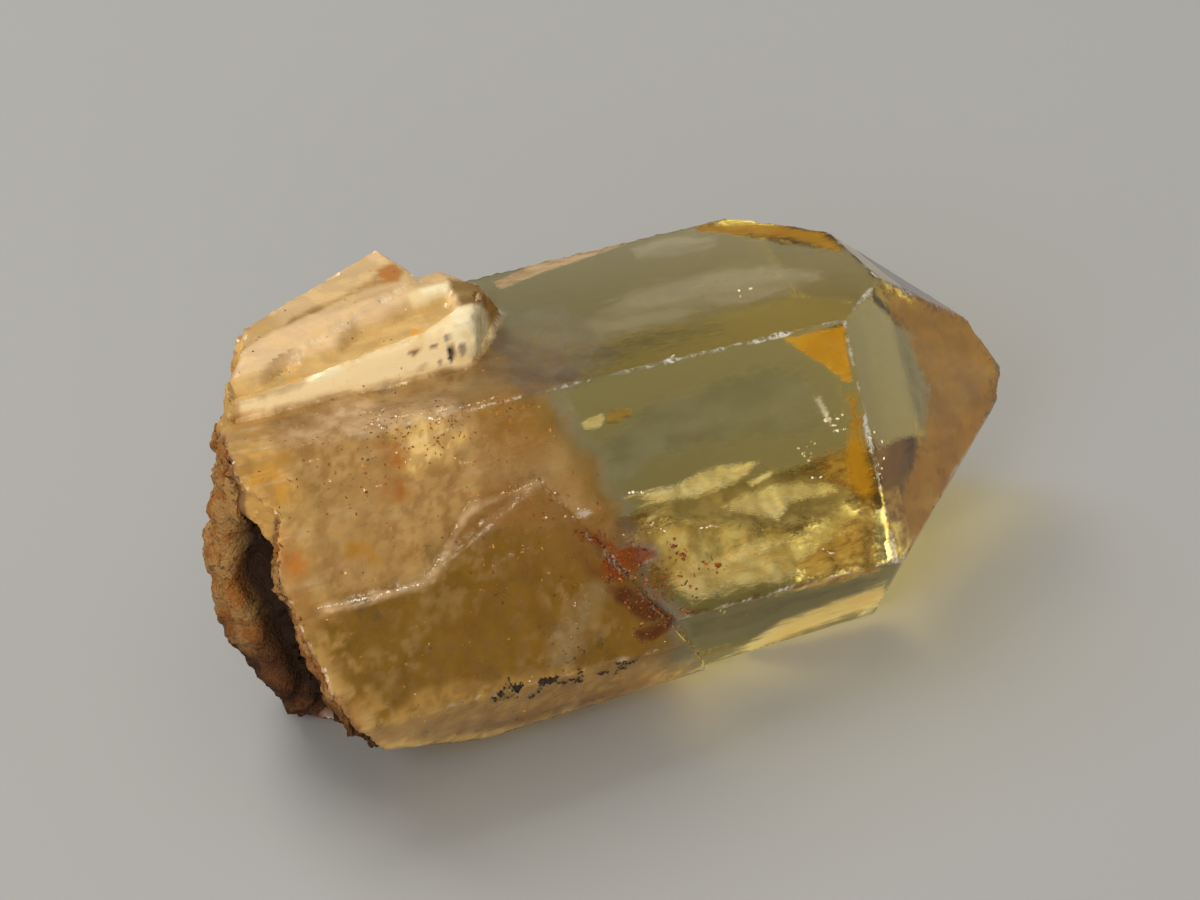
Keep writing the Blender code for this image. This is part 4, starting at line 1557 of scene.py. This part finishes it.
# a dark grey sheet that darkens the clear half behind the front face
FRONT_DARKENING = [(588, 440), (640, 392), (760, 352), (812, 356), (838, 400), (846, 440), (800, 452),
               (740, 452), (660, 474), (620, 500), (596, 480)]
SHADE_VEILS = {
    # painted light: the yellow band and the yellow at the foot
    "yellow_zone": ((0.96, 0.74, 0.32), (1.0, 0.93, 0.62),
                    dict(cover=(0.02, 0.22), stretch=LONGER, scale=0.3, most=0.95)),
    # painted shade for the dark lines along the edges and the ridge
    "olive_shade": ((0.05, 0.045, 0.012), (0.16, 0.14, 0.05),
                    dict(cover=(0.05, 0.45), stretch=LONG, scale=0.6, most=0.6)),
    "pink_strip": ((0.66, 0.42, 0.24), (0.92, 0.70, 0.50), dict(cover=(0.20, 0.50), scale=1.2, most=0.8)),
    "grey_mist": ((0.46, 0.44, 0.38), (0.80, 0.76, 0.68),
                  dict(cover=(0.20, 0.75), stretch=LONGER, scale=0.35, most=0.36)),
    # dark grey, to darken the clear half behind the front face
    "front_smoke": ((0.10, 0.12, 0.11), (0.30, 0.33, 0.30),
                    dict(cover=(0.10, 0.60), stretch=LONGER, scale=0.35, most=0.36)),
}
SHADE_SHEETS = {
    # painted reflections and painted light in amber and yellow, painted shade in olive
    "top_amber": (TOP_AMBER, 0.6, "amber_zone", dict(ripple=0.1, soft=8.0, step=2.0)),
    "lit_band": (LIT_BAND, 0.3, "yellow_zone", dict(ripple=0.05, soft=9.0, step=2.0)),
    "foot_yellow": (FOOT_YELLOW, 0.3, "yellow_zone", dict(ripple=0.05, soft=9.0, step=2.0)),
    "edge_shade": (EDGE_SHADE, 0.3, "olive_shade", dict(ripple=0.05, soft=9.0, step=2.0)),
    "ridge_shade": (RIDGE_SHADE, 0.8, "olive_shade", dict(ripple=0.1, soft=26.0)),
    "back_strip": (BACK_STRIP, 0.4, "pink_strip", dict(ripple=0.1, soft=5.0, step=2.0)),
    "frosted_patch": (FROSTED, 0.3, "grey_mist", dict(ripple=0.1, soft=8.0)),
    "grey_mist": (GREY_MIST, 0.5, "grey_mist", dict(ripple=0.2, soft=20.0, step=3.0)),
    "front_smoke": (FRONT_DARKENING, 1.2, "front_smoke", dict(slope=0.02, ripple=0.2, soft=26.0, step=3.0)),
}
make_veils(SHADE_VEILS)
seal_sheets(SHADE_SHEETS)

# %% [markdown]
# ### Rust along the slab
# Rusty water seeped in where the slab joins the crystal.  It left red crumbs along its
# upper right edge, a dark brown wedge at its lower right corner, and a thin dark seam.

# %% Rust stains
SEAM = [(634, 577), (645, 580), (656, 588), (666, 598), (676, 606), (692, 610), (690, 614), (674, 610),
        (662, 600), (652, 591), (642, 584)]
RED_CRUMBS = [
    # picture point, and reach in picture points
    (673, 547, 4), (683, 554, 4), (706, 564, 4), (718, 565, 6), (679, 576, 4), (668, 566, 3),
]
CRUMB_SIDES = 6
CRUMB_TURN = 20                 # each crumb is turned this many degrees more than the last
CRUMB_SQUASH = 0.7
CRUMB_DEPTH = 0.9
CRUMB_SHAPE = dict(ripple=0.1, soft=2.0, step=1.0)
RUST_VEILS = {
    "red_rust": ((0.26, 0.040, 0.004), (0.50, 0.125, 0.012),
                 dict(cover=(0.40, 0.46), stretch=EVEN, scale=2.6, most=1.0, glow=0.3)),
    "dark_rust": ((0.13, 0.040, 0.008), (0.42, 0.17, 0.040),
                  dict(cover=(0.26, 0.40), stretch=(0.8, 1.0, 1.0), scale=1.8, most=0.97, glow=0.2)),
}
RUST_SHEETS = {
    "rust_arc": (RED_ARC, 0.25, "red_rust", dict(slope=0.02, soft=5.0, step=1.5)),
    "rust_patch": (RED_MAIN, 0.3, "red_rust", dict(slope=0.02, soft=6.0, step=1.5)),
    "rust_wedge": (WEDGE, 0.2, "dark_rust", dict(slope=0.01, ripple=0.1, soft=4.0, step=1.5)),
    "rust_wedge_foot": (WEDGE_BELOW, 0.2, "dark_rust", dict(ripple=0.1, soft=4.0, step=1.5)),
    "rust_seam": (SEAM, 0.3, "dark_rust", dict(ripple=0.05, soft=2.0, step=1.2)),
    "grey_smear": (GREY_SMEAR, 0.5, "dark_rust", dict(ripple=0.05, soft=7.0, step=1.5)),
}


def crumb_outline(number, x, y, reach):
    """The outline of a crumb, a squashed and turned hexagon."""
    turns = [math.radians(360 / CRUMB_SIDES * i + CRUMB_TURN * number) for i in range(CRUMB_SIDES)]
    return [(x + reach * math.cos(turn), y + CRUMB_SQUASH * reach * math.sin(turn)) for turn in turns]


make_veils(RUST_VEILS)
seal_sheets(RUST_SHEETS)
for number, crumb in enumerate(RED_CRUMBS):
    outline = crumb_outline(number, *crumb)
    seal_sheets({f"rust_crumb_{number + 1}": (outline, CRUMB_DEPTH, "red_rust", CRUMB_SHAPE)})

# %% [markdown]
# ### Specks and glints
# Hundreds of tiny rust specks sit in the skin of the cloudy half, and tiny flat cracks glint
# in both halves.  Placing them by hand would take for ever, so Geometry Nodes scatter them:
# points are strewn over a mesh where one of its masks is high, and a small flat flake is put
# on each, turned and sized at random with a fixed seed.

# %% Scattering flakes with Geometry Nodes
FLAKE_SIDES = 5
FLAKE_SQUASH = (0.35, 1.0)      # a flake is this wide for its length
FULL_TURN = 6.2832              # once round, in radians
SQUASH_SEED = 17
SPIN_SEED = 5
TUMBLE_SEED = 6
ONE_WAY = (-1.0, -1.0, -1.0)
OTHER_WAY = (1.0, 1.0, 1.0)
FLAKE_INPUTS = (
    ("Geometry", "NodeSocketGeometry", None),
    ("Mask", "NodeSocketString", ""),
    ("Per Square", "NodeSocketFloat", 1.0),
    ("Smallest", "NodeSocketFloat", 0.05),
    ("Largest", "NodeSocketFloat", 0.15),
    ("Thickness", "NodeSocketFloat", 0.4),
    ("Sink", "NodeSocketFloat", 0.0),
    ("Stray", "NodeSocketFloat", 0.0),
    ("Tumble", "NodeSocketFloat", 0.3),
    ("Seed", "NodeSocketInt", 1),
    ("Material", "NodeSocketMaterial", None),
)


def chance_vector(tree, low, high, seed):
    """A random vector between two corners for each point."""
    links = {0: low, 1: high, "Seed": seed}
    return add_node(tree, "FunctionNodeRandomValue", links, data_type="FLOAT_VECTOR").outputs[0]


def chance_number(tree, low, high, seed):
    """A random number between two others for each point."""
    links = {2: low, 3: high, "Seed": seed}
    return add_node(tree, "FunctionNodeRandomValue", links, data_type="FLOAT").outputs[1]


def scaled(tree, vector, share):
    """A vector times a number."""
    return put(tree, "VectorMath", {0: vector, "Scale": share}, operation="SCALE").outputs[0]


def strewn_points(tree, given):
    """Points strewn where the mask is high, sunk and strayed, and their rotation."""
    mask = add_node(tree, "GeometryNodeInputNamedAttribute", {"Name": given["Mask"]}).outputs[0]
    strewn = add_node(tree, "GeometryNodeDistributePointsOnFaces", {
        "Mesh": given["Geometry"],
        "Density": maths(tree, "MULTIPLY", mask, given["Per Square"]),
        "Seed": given["Seed"],
    })
    stray = scaled(tree, chance_vector(tree, ONE_WAY, OTHER_WAY, given["Seed"]), given["Stray"])
    sunk = scaled(tree, strewn.outputs["Normal"], given["Sink"])
    shift = put(tree, "VectorMath", {0: stray, 1: sunk}, operation="SUBTRACT").outputs[0]
    links = {"Geometry": strewn.outputs["Points"], "Offset": shift}
    placed = add_node(tree, "GeometryNodeSetPosition", links).outputs[0]
    return placed, strewn.outputs["Rotation"]


def flake_scale(tree, given):
    """The length, width and thickness of each flake."""
    size = chance_number(tree, given["Smallest"], given["Largest"], given["Seed"])
    squash = chance_number(tree, *FLAKE_SQUASH, SQUASH_SEED)
    shape = put(tree, "CombineXYZ", {0: 1.0, 1: squash, 2: given["Thickness"]}).outputs[0]
    return scaled(tree, shape, size)


def flake_rotation(tree, given, rotation):
    """The rotation of the skin, with a spin and a tumble added."""
    spin = chance_vector(tree, (0.0, 0.0, 0.0), (0.0, 0.0, FULL_TURN), SPIN_SEED)
    tumble = scaled(tree, chance_vector(tree, ONE_WAY, OTHER_WAY, TUMBLE_SEED), given["Tumble"])
    angles = put(tree, "VectorMath", {0: spin, 1: tumble}, operation="ADD").outputs[0]
    links = {0: rotation, 1: angles}
    return add_node(tree, "FunctionNodeRotateRotation", links, rotation_space="LOCAL").outputs[0]


def make_flake_tree():
    """Strew flakes over a mesh where a mask is high."""
    tree = bpy.data.node_groups.new("strewn_flakes", "GeometryNodeTree")
    for label, kind, value in FLAKE_INPUTS:
        socket = tree.interface.new_socket(label, in_out="INPUT", socket_type=kind)
        if value is not None:
            socket.default_value = value
    tree.interface.new_socket("Geometry", in_out="OUTPUT", socket_type="NodeSocketGeometry")
    given = tree.nodes.new("NodeGroupInput").outputs
    placed, rotation = strewn_points(tree, given)
    size = {"Vertices": FLAKE_SIDES, "Radius": 1.0, "Depth": 1.0}
    flake = add_node(tree, "GeometryNodeMeshCylinder", size, fill_type="NGON")
    flakes = add_node(tree, "GeometryNodeInstanceOnPoints", {
        "Points": placed,
        "Instance": flake.outputs["Mesh"],
        "Rotation": flake_rotation(tree, given, rotation),
        "Scale": flake_scale(tree, given),
    })
    real = add_node(tree, "GeometryNodeRealizeInstances", {"Geometry": flakes.outputs[0]})
    links = {"Geometry": real.outputs[0], "Material": given["Material"]}
    painted = add_node(tree, "GeometryNodeSetMaterial", links)
    tree.links.new(painted.outputs[0], tree.nodes.new("NodeGroupOutput").inputs[0])
    return tree


flake_tree = make_flake_tree()
print("nodes that strew flakes:", len(flake_tree.nodes))

# %% [markdown]
# The flakes are grit of a few kinds, each a small opaque mineral with two tones.  The same
# tree strews them all; only the mask, the sizes and the seed differ.

# %% Strewing and grit
GRIT_DETAIL = 4.0
GRIT_RAMP = (0.38, 0.62)
GRITS = {
    # dark and pale colour, roughness, waves of tone in a mm
    "rust_grit": ((0.10, 0.022, 0.006), (0.42, 0.14, 0.028), 0.7, 3.0),
    "ochre_grit": ((0.24, 0.09, 0.012), (0.55, 0.29, 0.06), 0.7, 3.0),
    "white_glint": ((0.92, 0.84, 0.70), (1.0, 0.97, 0.90), 0.25, 3.0),
    "red_grit": ((0.05, 0.010, 0.001), (0.34, 0.095, 0.005), 0.8, 8.0),
    "manganese": ((0.008, 0.004, 0.002), (0.050, 0.022, 0.008), 0.8, 3.0),
}


def make_grit(name):
    """A small opaque mineral with two tones."""
    dark, pale, roughness, scale = GRITS[name]
    material, tree = new_material(name)
    tones = ramp(tree, grain(tree, mm_place(tree), scale, GRIT_DETAIL), *GRIT_RAMP)
    colour = mix_colour(tree, tones, dark + (1.0,), pale + (1.0,))
    shader = put(tree, "BsdfPrincipled", {"Base Color": colour, "Roughness": roughness})
    put(tree, "OutputMaterial", {"Surface": shader.outputs[0]})
    return material


def strew(name, mesh, grit, **sizes):
    """Strew flakes over a copy of a mesh and keep them as a piece of their own."""
    base = link_mesh(name + "_base", mesh.copy())
    modifier = base.modifiers.new("flakes", "NODES")
    modifier.node_group = flake_tree
    wanted = {"material": grits[grit], **sizes}
    for item in flake_tree.interface.items_tree:
        label = item.name.lower().replace(" ", "_")
        if item.in_out == "INPUT" and label in wanted:
            modifier[item.identifier] = wanted[label]
    finish_piece(name, applied(base), grits[grit])


grits = {name: make_grit(name) for name in GRITS}
print("kinds of grit:", ", ".join(grits))

# %% [markdown]
# The rust specks crowd in a few places.  Each place is a picture point with a reach, and the
# mask is the sum of soft spots round them, over a thin scatter everywhere in the cloud.

# %% Rust specks
SPECK_PLACES = [
    # picture point, reach in picture points, strength
    (395, 435, 22, 1.6), (440, 428, 20, 2.0), (410, 452, 16, 2.2), (452, 442, 14, 1.8),
    (358, 470, 30, 0.45), (320, 455, 26, 0.4), (372, 575, 12, 1.0), (352, 578, 8, 0.8),
    (300, 500, 30, 0.3), (570, 590, 12, 1.0), (515, 425, 30, 0.45), (600, 590, 20, 0.3),
    (530, 520, 40, 0.25), (650, 585, 22, 0.35), (480, 470, 30, 0.2), (560, 648, 18, 0.8),
    (400, 690, 16, 0.5), (345, 640, 14, 0.5), (700, 590, 20, 0.25), (500, 560, 40, 0.2),
]
RUST_AREAS = [
    # outline, strength
    (RED_ARC, 1.0),
    (RED_MAIN, 1.0),
    (WEDGE, 0.7),
    (WEDGE_BELOW, 0.8),
    (SEAM, 0.5),
    ([(560, 576), (584, 580), (580, 600), (562, 596)], 0.25),
    ([(640, 566), (690, 570), (700, 600), (650, 596)], 0.12),
    ([(540, 630), (584, 632), (584, 668), (546, 668)], 0.3),
    ([(750, 612), (775, 606), (776, 612), (752, 618)], 0.3),
]
THIN_SCATTER = 0.035            # specks everywhere in the cloud
CROWDED = 0.5                   # and this much times the strength round the places
BETWEEN_CLUSTERS = 0.25
BETWEEN_CRUMBS = 0.3
ON_THE_SKIN = {
    # grit, and how it is strewn
    "rust_specks": ("rust_grit", dict(mask="specks", per_square=26.0, smallest=0.025, largest=0.11,
                                      thickness=0.2, sink=0.01, tumble=0.4, seed=3)),
    "red_crumbs": ("red_grit", dict(mask="red_zone", per_square=75.0, smallest=0.03, largest=0.12,
                                    thickness=0.4, sink=0.03, stray=0.08, tumble=1.0, seed=5)),
    "ochre_specks": ("ochre_grit", dict(mask="specks", per_square=16.0, smallest=0.03, largest=0.15,
                                        thickness=0.2, sink=0.02, tumble=0.3, seed=8)),
    "surface_glints": ("white_glint", dict(mask="scratches", per_square=0.5, smallest=0.02, largest=0.09,
                                           thickness=0.1, sink=0.01, tumble=0.5, seed=12)),
}


def round_spot(x, y, reach):
    """A soft round spot about a picture point."""
    away = np.linalg.norm(in_picture - (x, y), axis=1) / reach
    return np.exp(-away ** 2) * facing


def speck_mask():
    """Where rust specks sit in the skin."""
    mask = THIN_SCATTER * cloudy * unbroken
    for x, y, reach, strength in SPECK_PLACES:
        mask = mask + CROWDED * strength * round_spot(x, y, reach) * unbroken
    return mask * (BETWEEN_CLUSTERS + spots(places, "speck clusters"))


def red_mask():
    """Where red rust crumbs sit close together."""
    mask = np.zeros(len(places))
    for outline, strength in RUST_AREAS:
        mask = np.maximum(mask, strength * patch(outline, soft=3.0, wander=2.5))
    for crumb in RED_CRUMBS:
        mask = np.maximum(mask, round_spot(*crumb))
    return mask * (BETWEEN_CRUMBS + spots(places, "crumb clusters"))


unbroken = 1.0 - broken
keep_mask(skin, "red_zone", red_mask())
keep_mask(skin, "specks", speck_mask())
keep_mask(skin, "scratches", cloudy * unbroken * spots(places, "scratched places"))
for strewn_name, (grit_name, strewing) in ON_THE_SKIN.items():
    strew(strewn_name, skin, grit_name, **strewing)

# %% [markdown]
# Glints inside the stone gather in small swarms.  A swarm starts from a few small balls at
# the places where the glints are seen, and the flakes stray from them.

# %% Glints inside
GLINT_SWARMS = [
    # picture point, depth in mm, number of glints
    (806, 454, 3.0, 10), (770, 535, 3.2, 14), (797, 541, 3.0, 9), (826, 553, 2.5, 6), (580, 513, 1.2, 16),
    (835, 420, 1.2, 14), (655, 527, 2.0, 8), (745, 293, 0.5, 5), (770, 560, 3.0, 8), (880, 470, 0.4, 8),
    (876, 440, 0.4, 6), (500, 455, 0.8, 7), (380, 418, 0.3, 8), (448, 418, 0.5, 8), (516, 549, 0.6, 8),
    (790, 505, 3.0, 8), (560, 440, 2.0, 6), (720, 575, 3.0, 10), (690, 585, 2.0, 8),
]
SWARM_REACH = 0.35
INNER_GLINTS = dict(mask="wanted", per_square=1.0, smallest=0.03, largest=0.13, thickness=0.06, stray=0.35,
                    tumble=3.0, seed=21)


def ball_mesh(balls):
    """Small balls as one mesh, with a mask that gives each its number of flakes."""
    shape = bmesh.new()
    wanted = []
    for centre, radius, count in balls:
        place = Matrix.Translation(centre)
        made = bmesh.ops.create_icosphere(shape, subdivisions=1, radius=radius, matrix=place)
        area = 4.0 * math.pi * radius ** 2
        wanted.extend([count / area] * len(made["verts"]))
    mesh = bpy.data.meshes.new("balls")
    shape.to_mesh(mesh)
    shape.free()
    store = mesh.attributes.new("wanted", "FLOAT", "POINT")
    store.data.foreach_set("value", np.array(wanted, np.float32))
    return mesh


swarms = [(inside_point(x, y, depth), SWARM_REACH, count) for x, y, depth, count in GLINT_SWARMS]
strew("inner_glints", ball_mesh(swarms), "white_glint", **INNER_GLINTS)

# %% [markdown]
# ### Tree-like marks
# Along the lower edge of the slab dark manganese grew in the crack as little trees.  Each
# is a path of picture points with short side branches, made of small overlapping flakes.

# %% Tree-like marks
TREE_PATHS = [
    [(492, 701), (502, 698), (512, 695), (517, 690), (512, 684), (507, 679)],
    [(517, 690), (521, 684), (523, 681)],
    [(512, 684), (504, 687), (500, 694)],
    [(526, 698), (534, 694), (540, 688), (543, 683), (538, 681)],
    [(543, 683), (550, 680), (558, 681), (566, 681), (574, 678), (583, 675)],
    [(598, 673), (604, 672), (609, 670)],
    [(617, 668), (623, 665), (630, 662), (637, 660)],
    [(596, 646), (601, 642)],
]
TREE_SEED = 4
TREE_DEPTH = 0.15
TREE_STEP = 1.1             # picture points between two knots of a path
TREE_UNEVENNESS = 0.5       # a knot lies this far beside its path at most
TREE_FLAKE = 0.085          # size of the ball that carries a knot's flakes
KNOT_FLAKES = 4
BRANCH_CHANCE = 0.3
BRANCH_STEPS = (2, 5)
BRANCH_BEND = 0.5           # in radians, at most
BRANCH_SIZE = 0.9
BRANCH_TAPER = 0.12
DARK_TREES = dict(mask="wanted", per_square=1.0, smallest=0.07, largest=0.19, thickness=0.2,
                  tumble=3.0, seed=2)


def steps_along(path, step, fewest):
    """Picture points along a path, about a step apart."""
    for (ax, ay), (bx, by) in zip(path, path[1:]):
        count = max(fewest, int(math.hypot(bx - ax, by - ay) / step))
        for i in range(count):
            yield ax + (bx - ax) * i / count, ay + (by - ay) * i / count


def branch(chance, x, y):
    """Knots of a side branch that winds and gets thinner."""
    turn = chance.uniform(0.0, 2.0 * math.pi)
    for step in range(chance.randint(*BRANCH_STEPS)):
        turn += chance.uniform(-BRANCH_BEND, BRANCH_BEND)
        x += TREE_STEP * math.cos(turn)
        y += TREE_STEP * math.sin(turn)
        yield x, y, BRANCH_SIZE - BRANCH_TAPER * step


def tree_knots(chance):
    """Picture point and size of every knot of the trees."""
    found = []
    for path in TREE_PATHS:
        for x, y in steps_along(path, TREE_STEP, fewest=1):
            x += chance.uniform(-TREE_UNEVENNESS, TREE_UNEVENNESS)
            y += chance.uniform(-TREE_UNEVENNESS, TREE_UNEVENNESS)
            found.append((x, y, 1.0))
            if chance.random() < BRANCH_CHANCE:
                found.extend(branch(chance, x, y))
    return found


knots = [(inside_point(x, y, TREE_DEPTH), TREE_FLAKE * size, KNOT_FLAKES)
         for x, y, size in tree_knots(random.Random(TREE_SEED))]
strew("dark_trees", ball_mesh(knots), "manganese", **DARK_TREES)

# %% [markdown]
# ### Scratches and bright nicks
# Fresh scratches are white, because their crushed quartz scatters the light.  They are the
# same kind of path as the trees, with white flakes, and run mostly along the crystal.

# %% Scratches
SCRATCHES = [
    [(452, 462), (458, 460), (464, 464), (472, 461)], [(404, 462), (411, 458), (418, 455)],
    [(455, 458), (462, 458)], [(384, 408), (379, 417), (376, 426)], [(360, 412), (372, 413), (382, 415)],
    [(396, 417), (412, 415), (430, 413), (450, 408)], [(430, 418), (436, 420), (442, 418)],
    [(433, 424), (440, 422)], [(460, 407), (480, 402), (500, 396)], [(371, 421), (380, 426), (388, 432)],
    [(363, 428), (374, 424)], [(296, 466), (310, 461), (322, 459)], [(280, 500), (286, 497)],
    [(376, 486), (384, 484)], [(316, 608), (340, 604), (366, 597)], [(380, 594), (402, 588), (424, 583)],
    [(428, 578), (434, 568), (440, 556)], [(444, 548), (452, 534), (460, 520)],
    [(462, 512), (470, 502), (482, 499)], [(500, 494), (520, 489), (540, 479)], [(404, 664), (412, 662)],
    [(350, 634), (358, 632)], [(668, 352), (671, 357), (675, 354)], [(666, 360), (673, 357)],
    [(833, 431), (842, 430), (850, 429)], [(868, 438), (878, 437)], [(866, 428), (869, 426)],
    [(652, 526), (660, 529), (668, 534)], [(812, 478), (826, 477)], [(748, 293), (752, 291)],
    [(510, 552), (518, 548), (524, 545)], [(576, 508), (584, 508), (588, 514), (580, 518), (572, 516)],
    [(628, 493), (640, 492), (650, 494)], [(822, 548), (829, 552), (836, 553)],
    [(700, 528), (712, 526), (724, 527)],
]
SCRATCH_DEPTH = 0.05
SCRATCH_STEP = 1.6          # picture points between two places of a scratch
SCRATCH_BALL = 0.03         # size of the ball that carries the flakes of a place
SCRATCH_FLAKES = 1.6        # how many flakes a place gets on average
WHITE_SCRATCHES = dict(mask="wanted", per_square=1.0, smallest=0.015, largest=0.085, thickness=0.12,
                       stray=0.02, tumble=3.0, seed=9)

scratch_balls = [(inside_point(x, y, SCRATCH_DEPTH), SCRATCH_BALL, SCRATCH_FLAKES)
                 for path in SCRATCHES for x, y in steps_along(path, SCRATCH_STEP, fewest=2)]
strew("scratches", ball_mesh(scratch_balls), "white_glint", **WHITE_SCRATCHES)
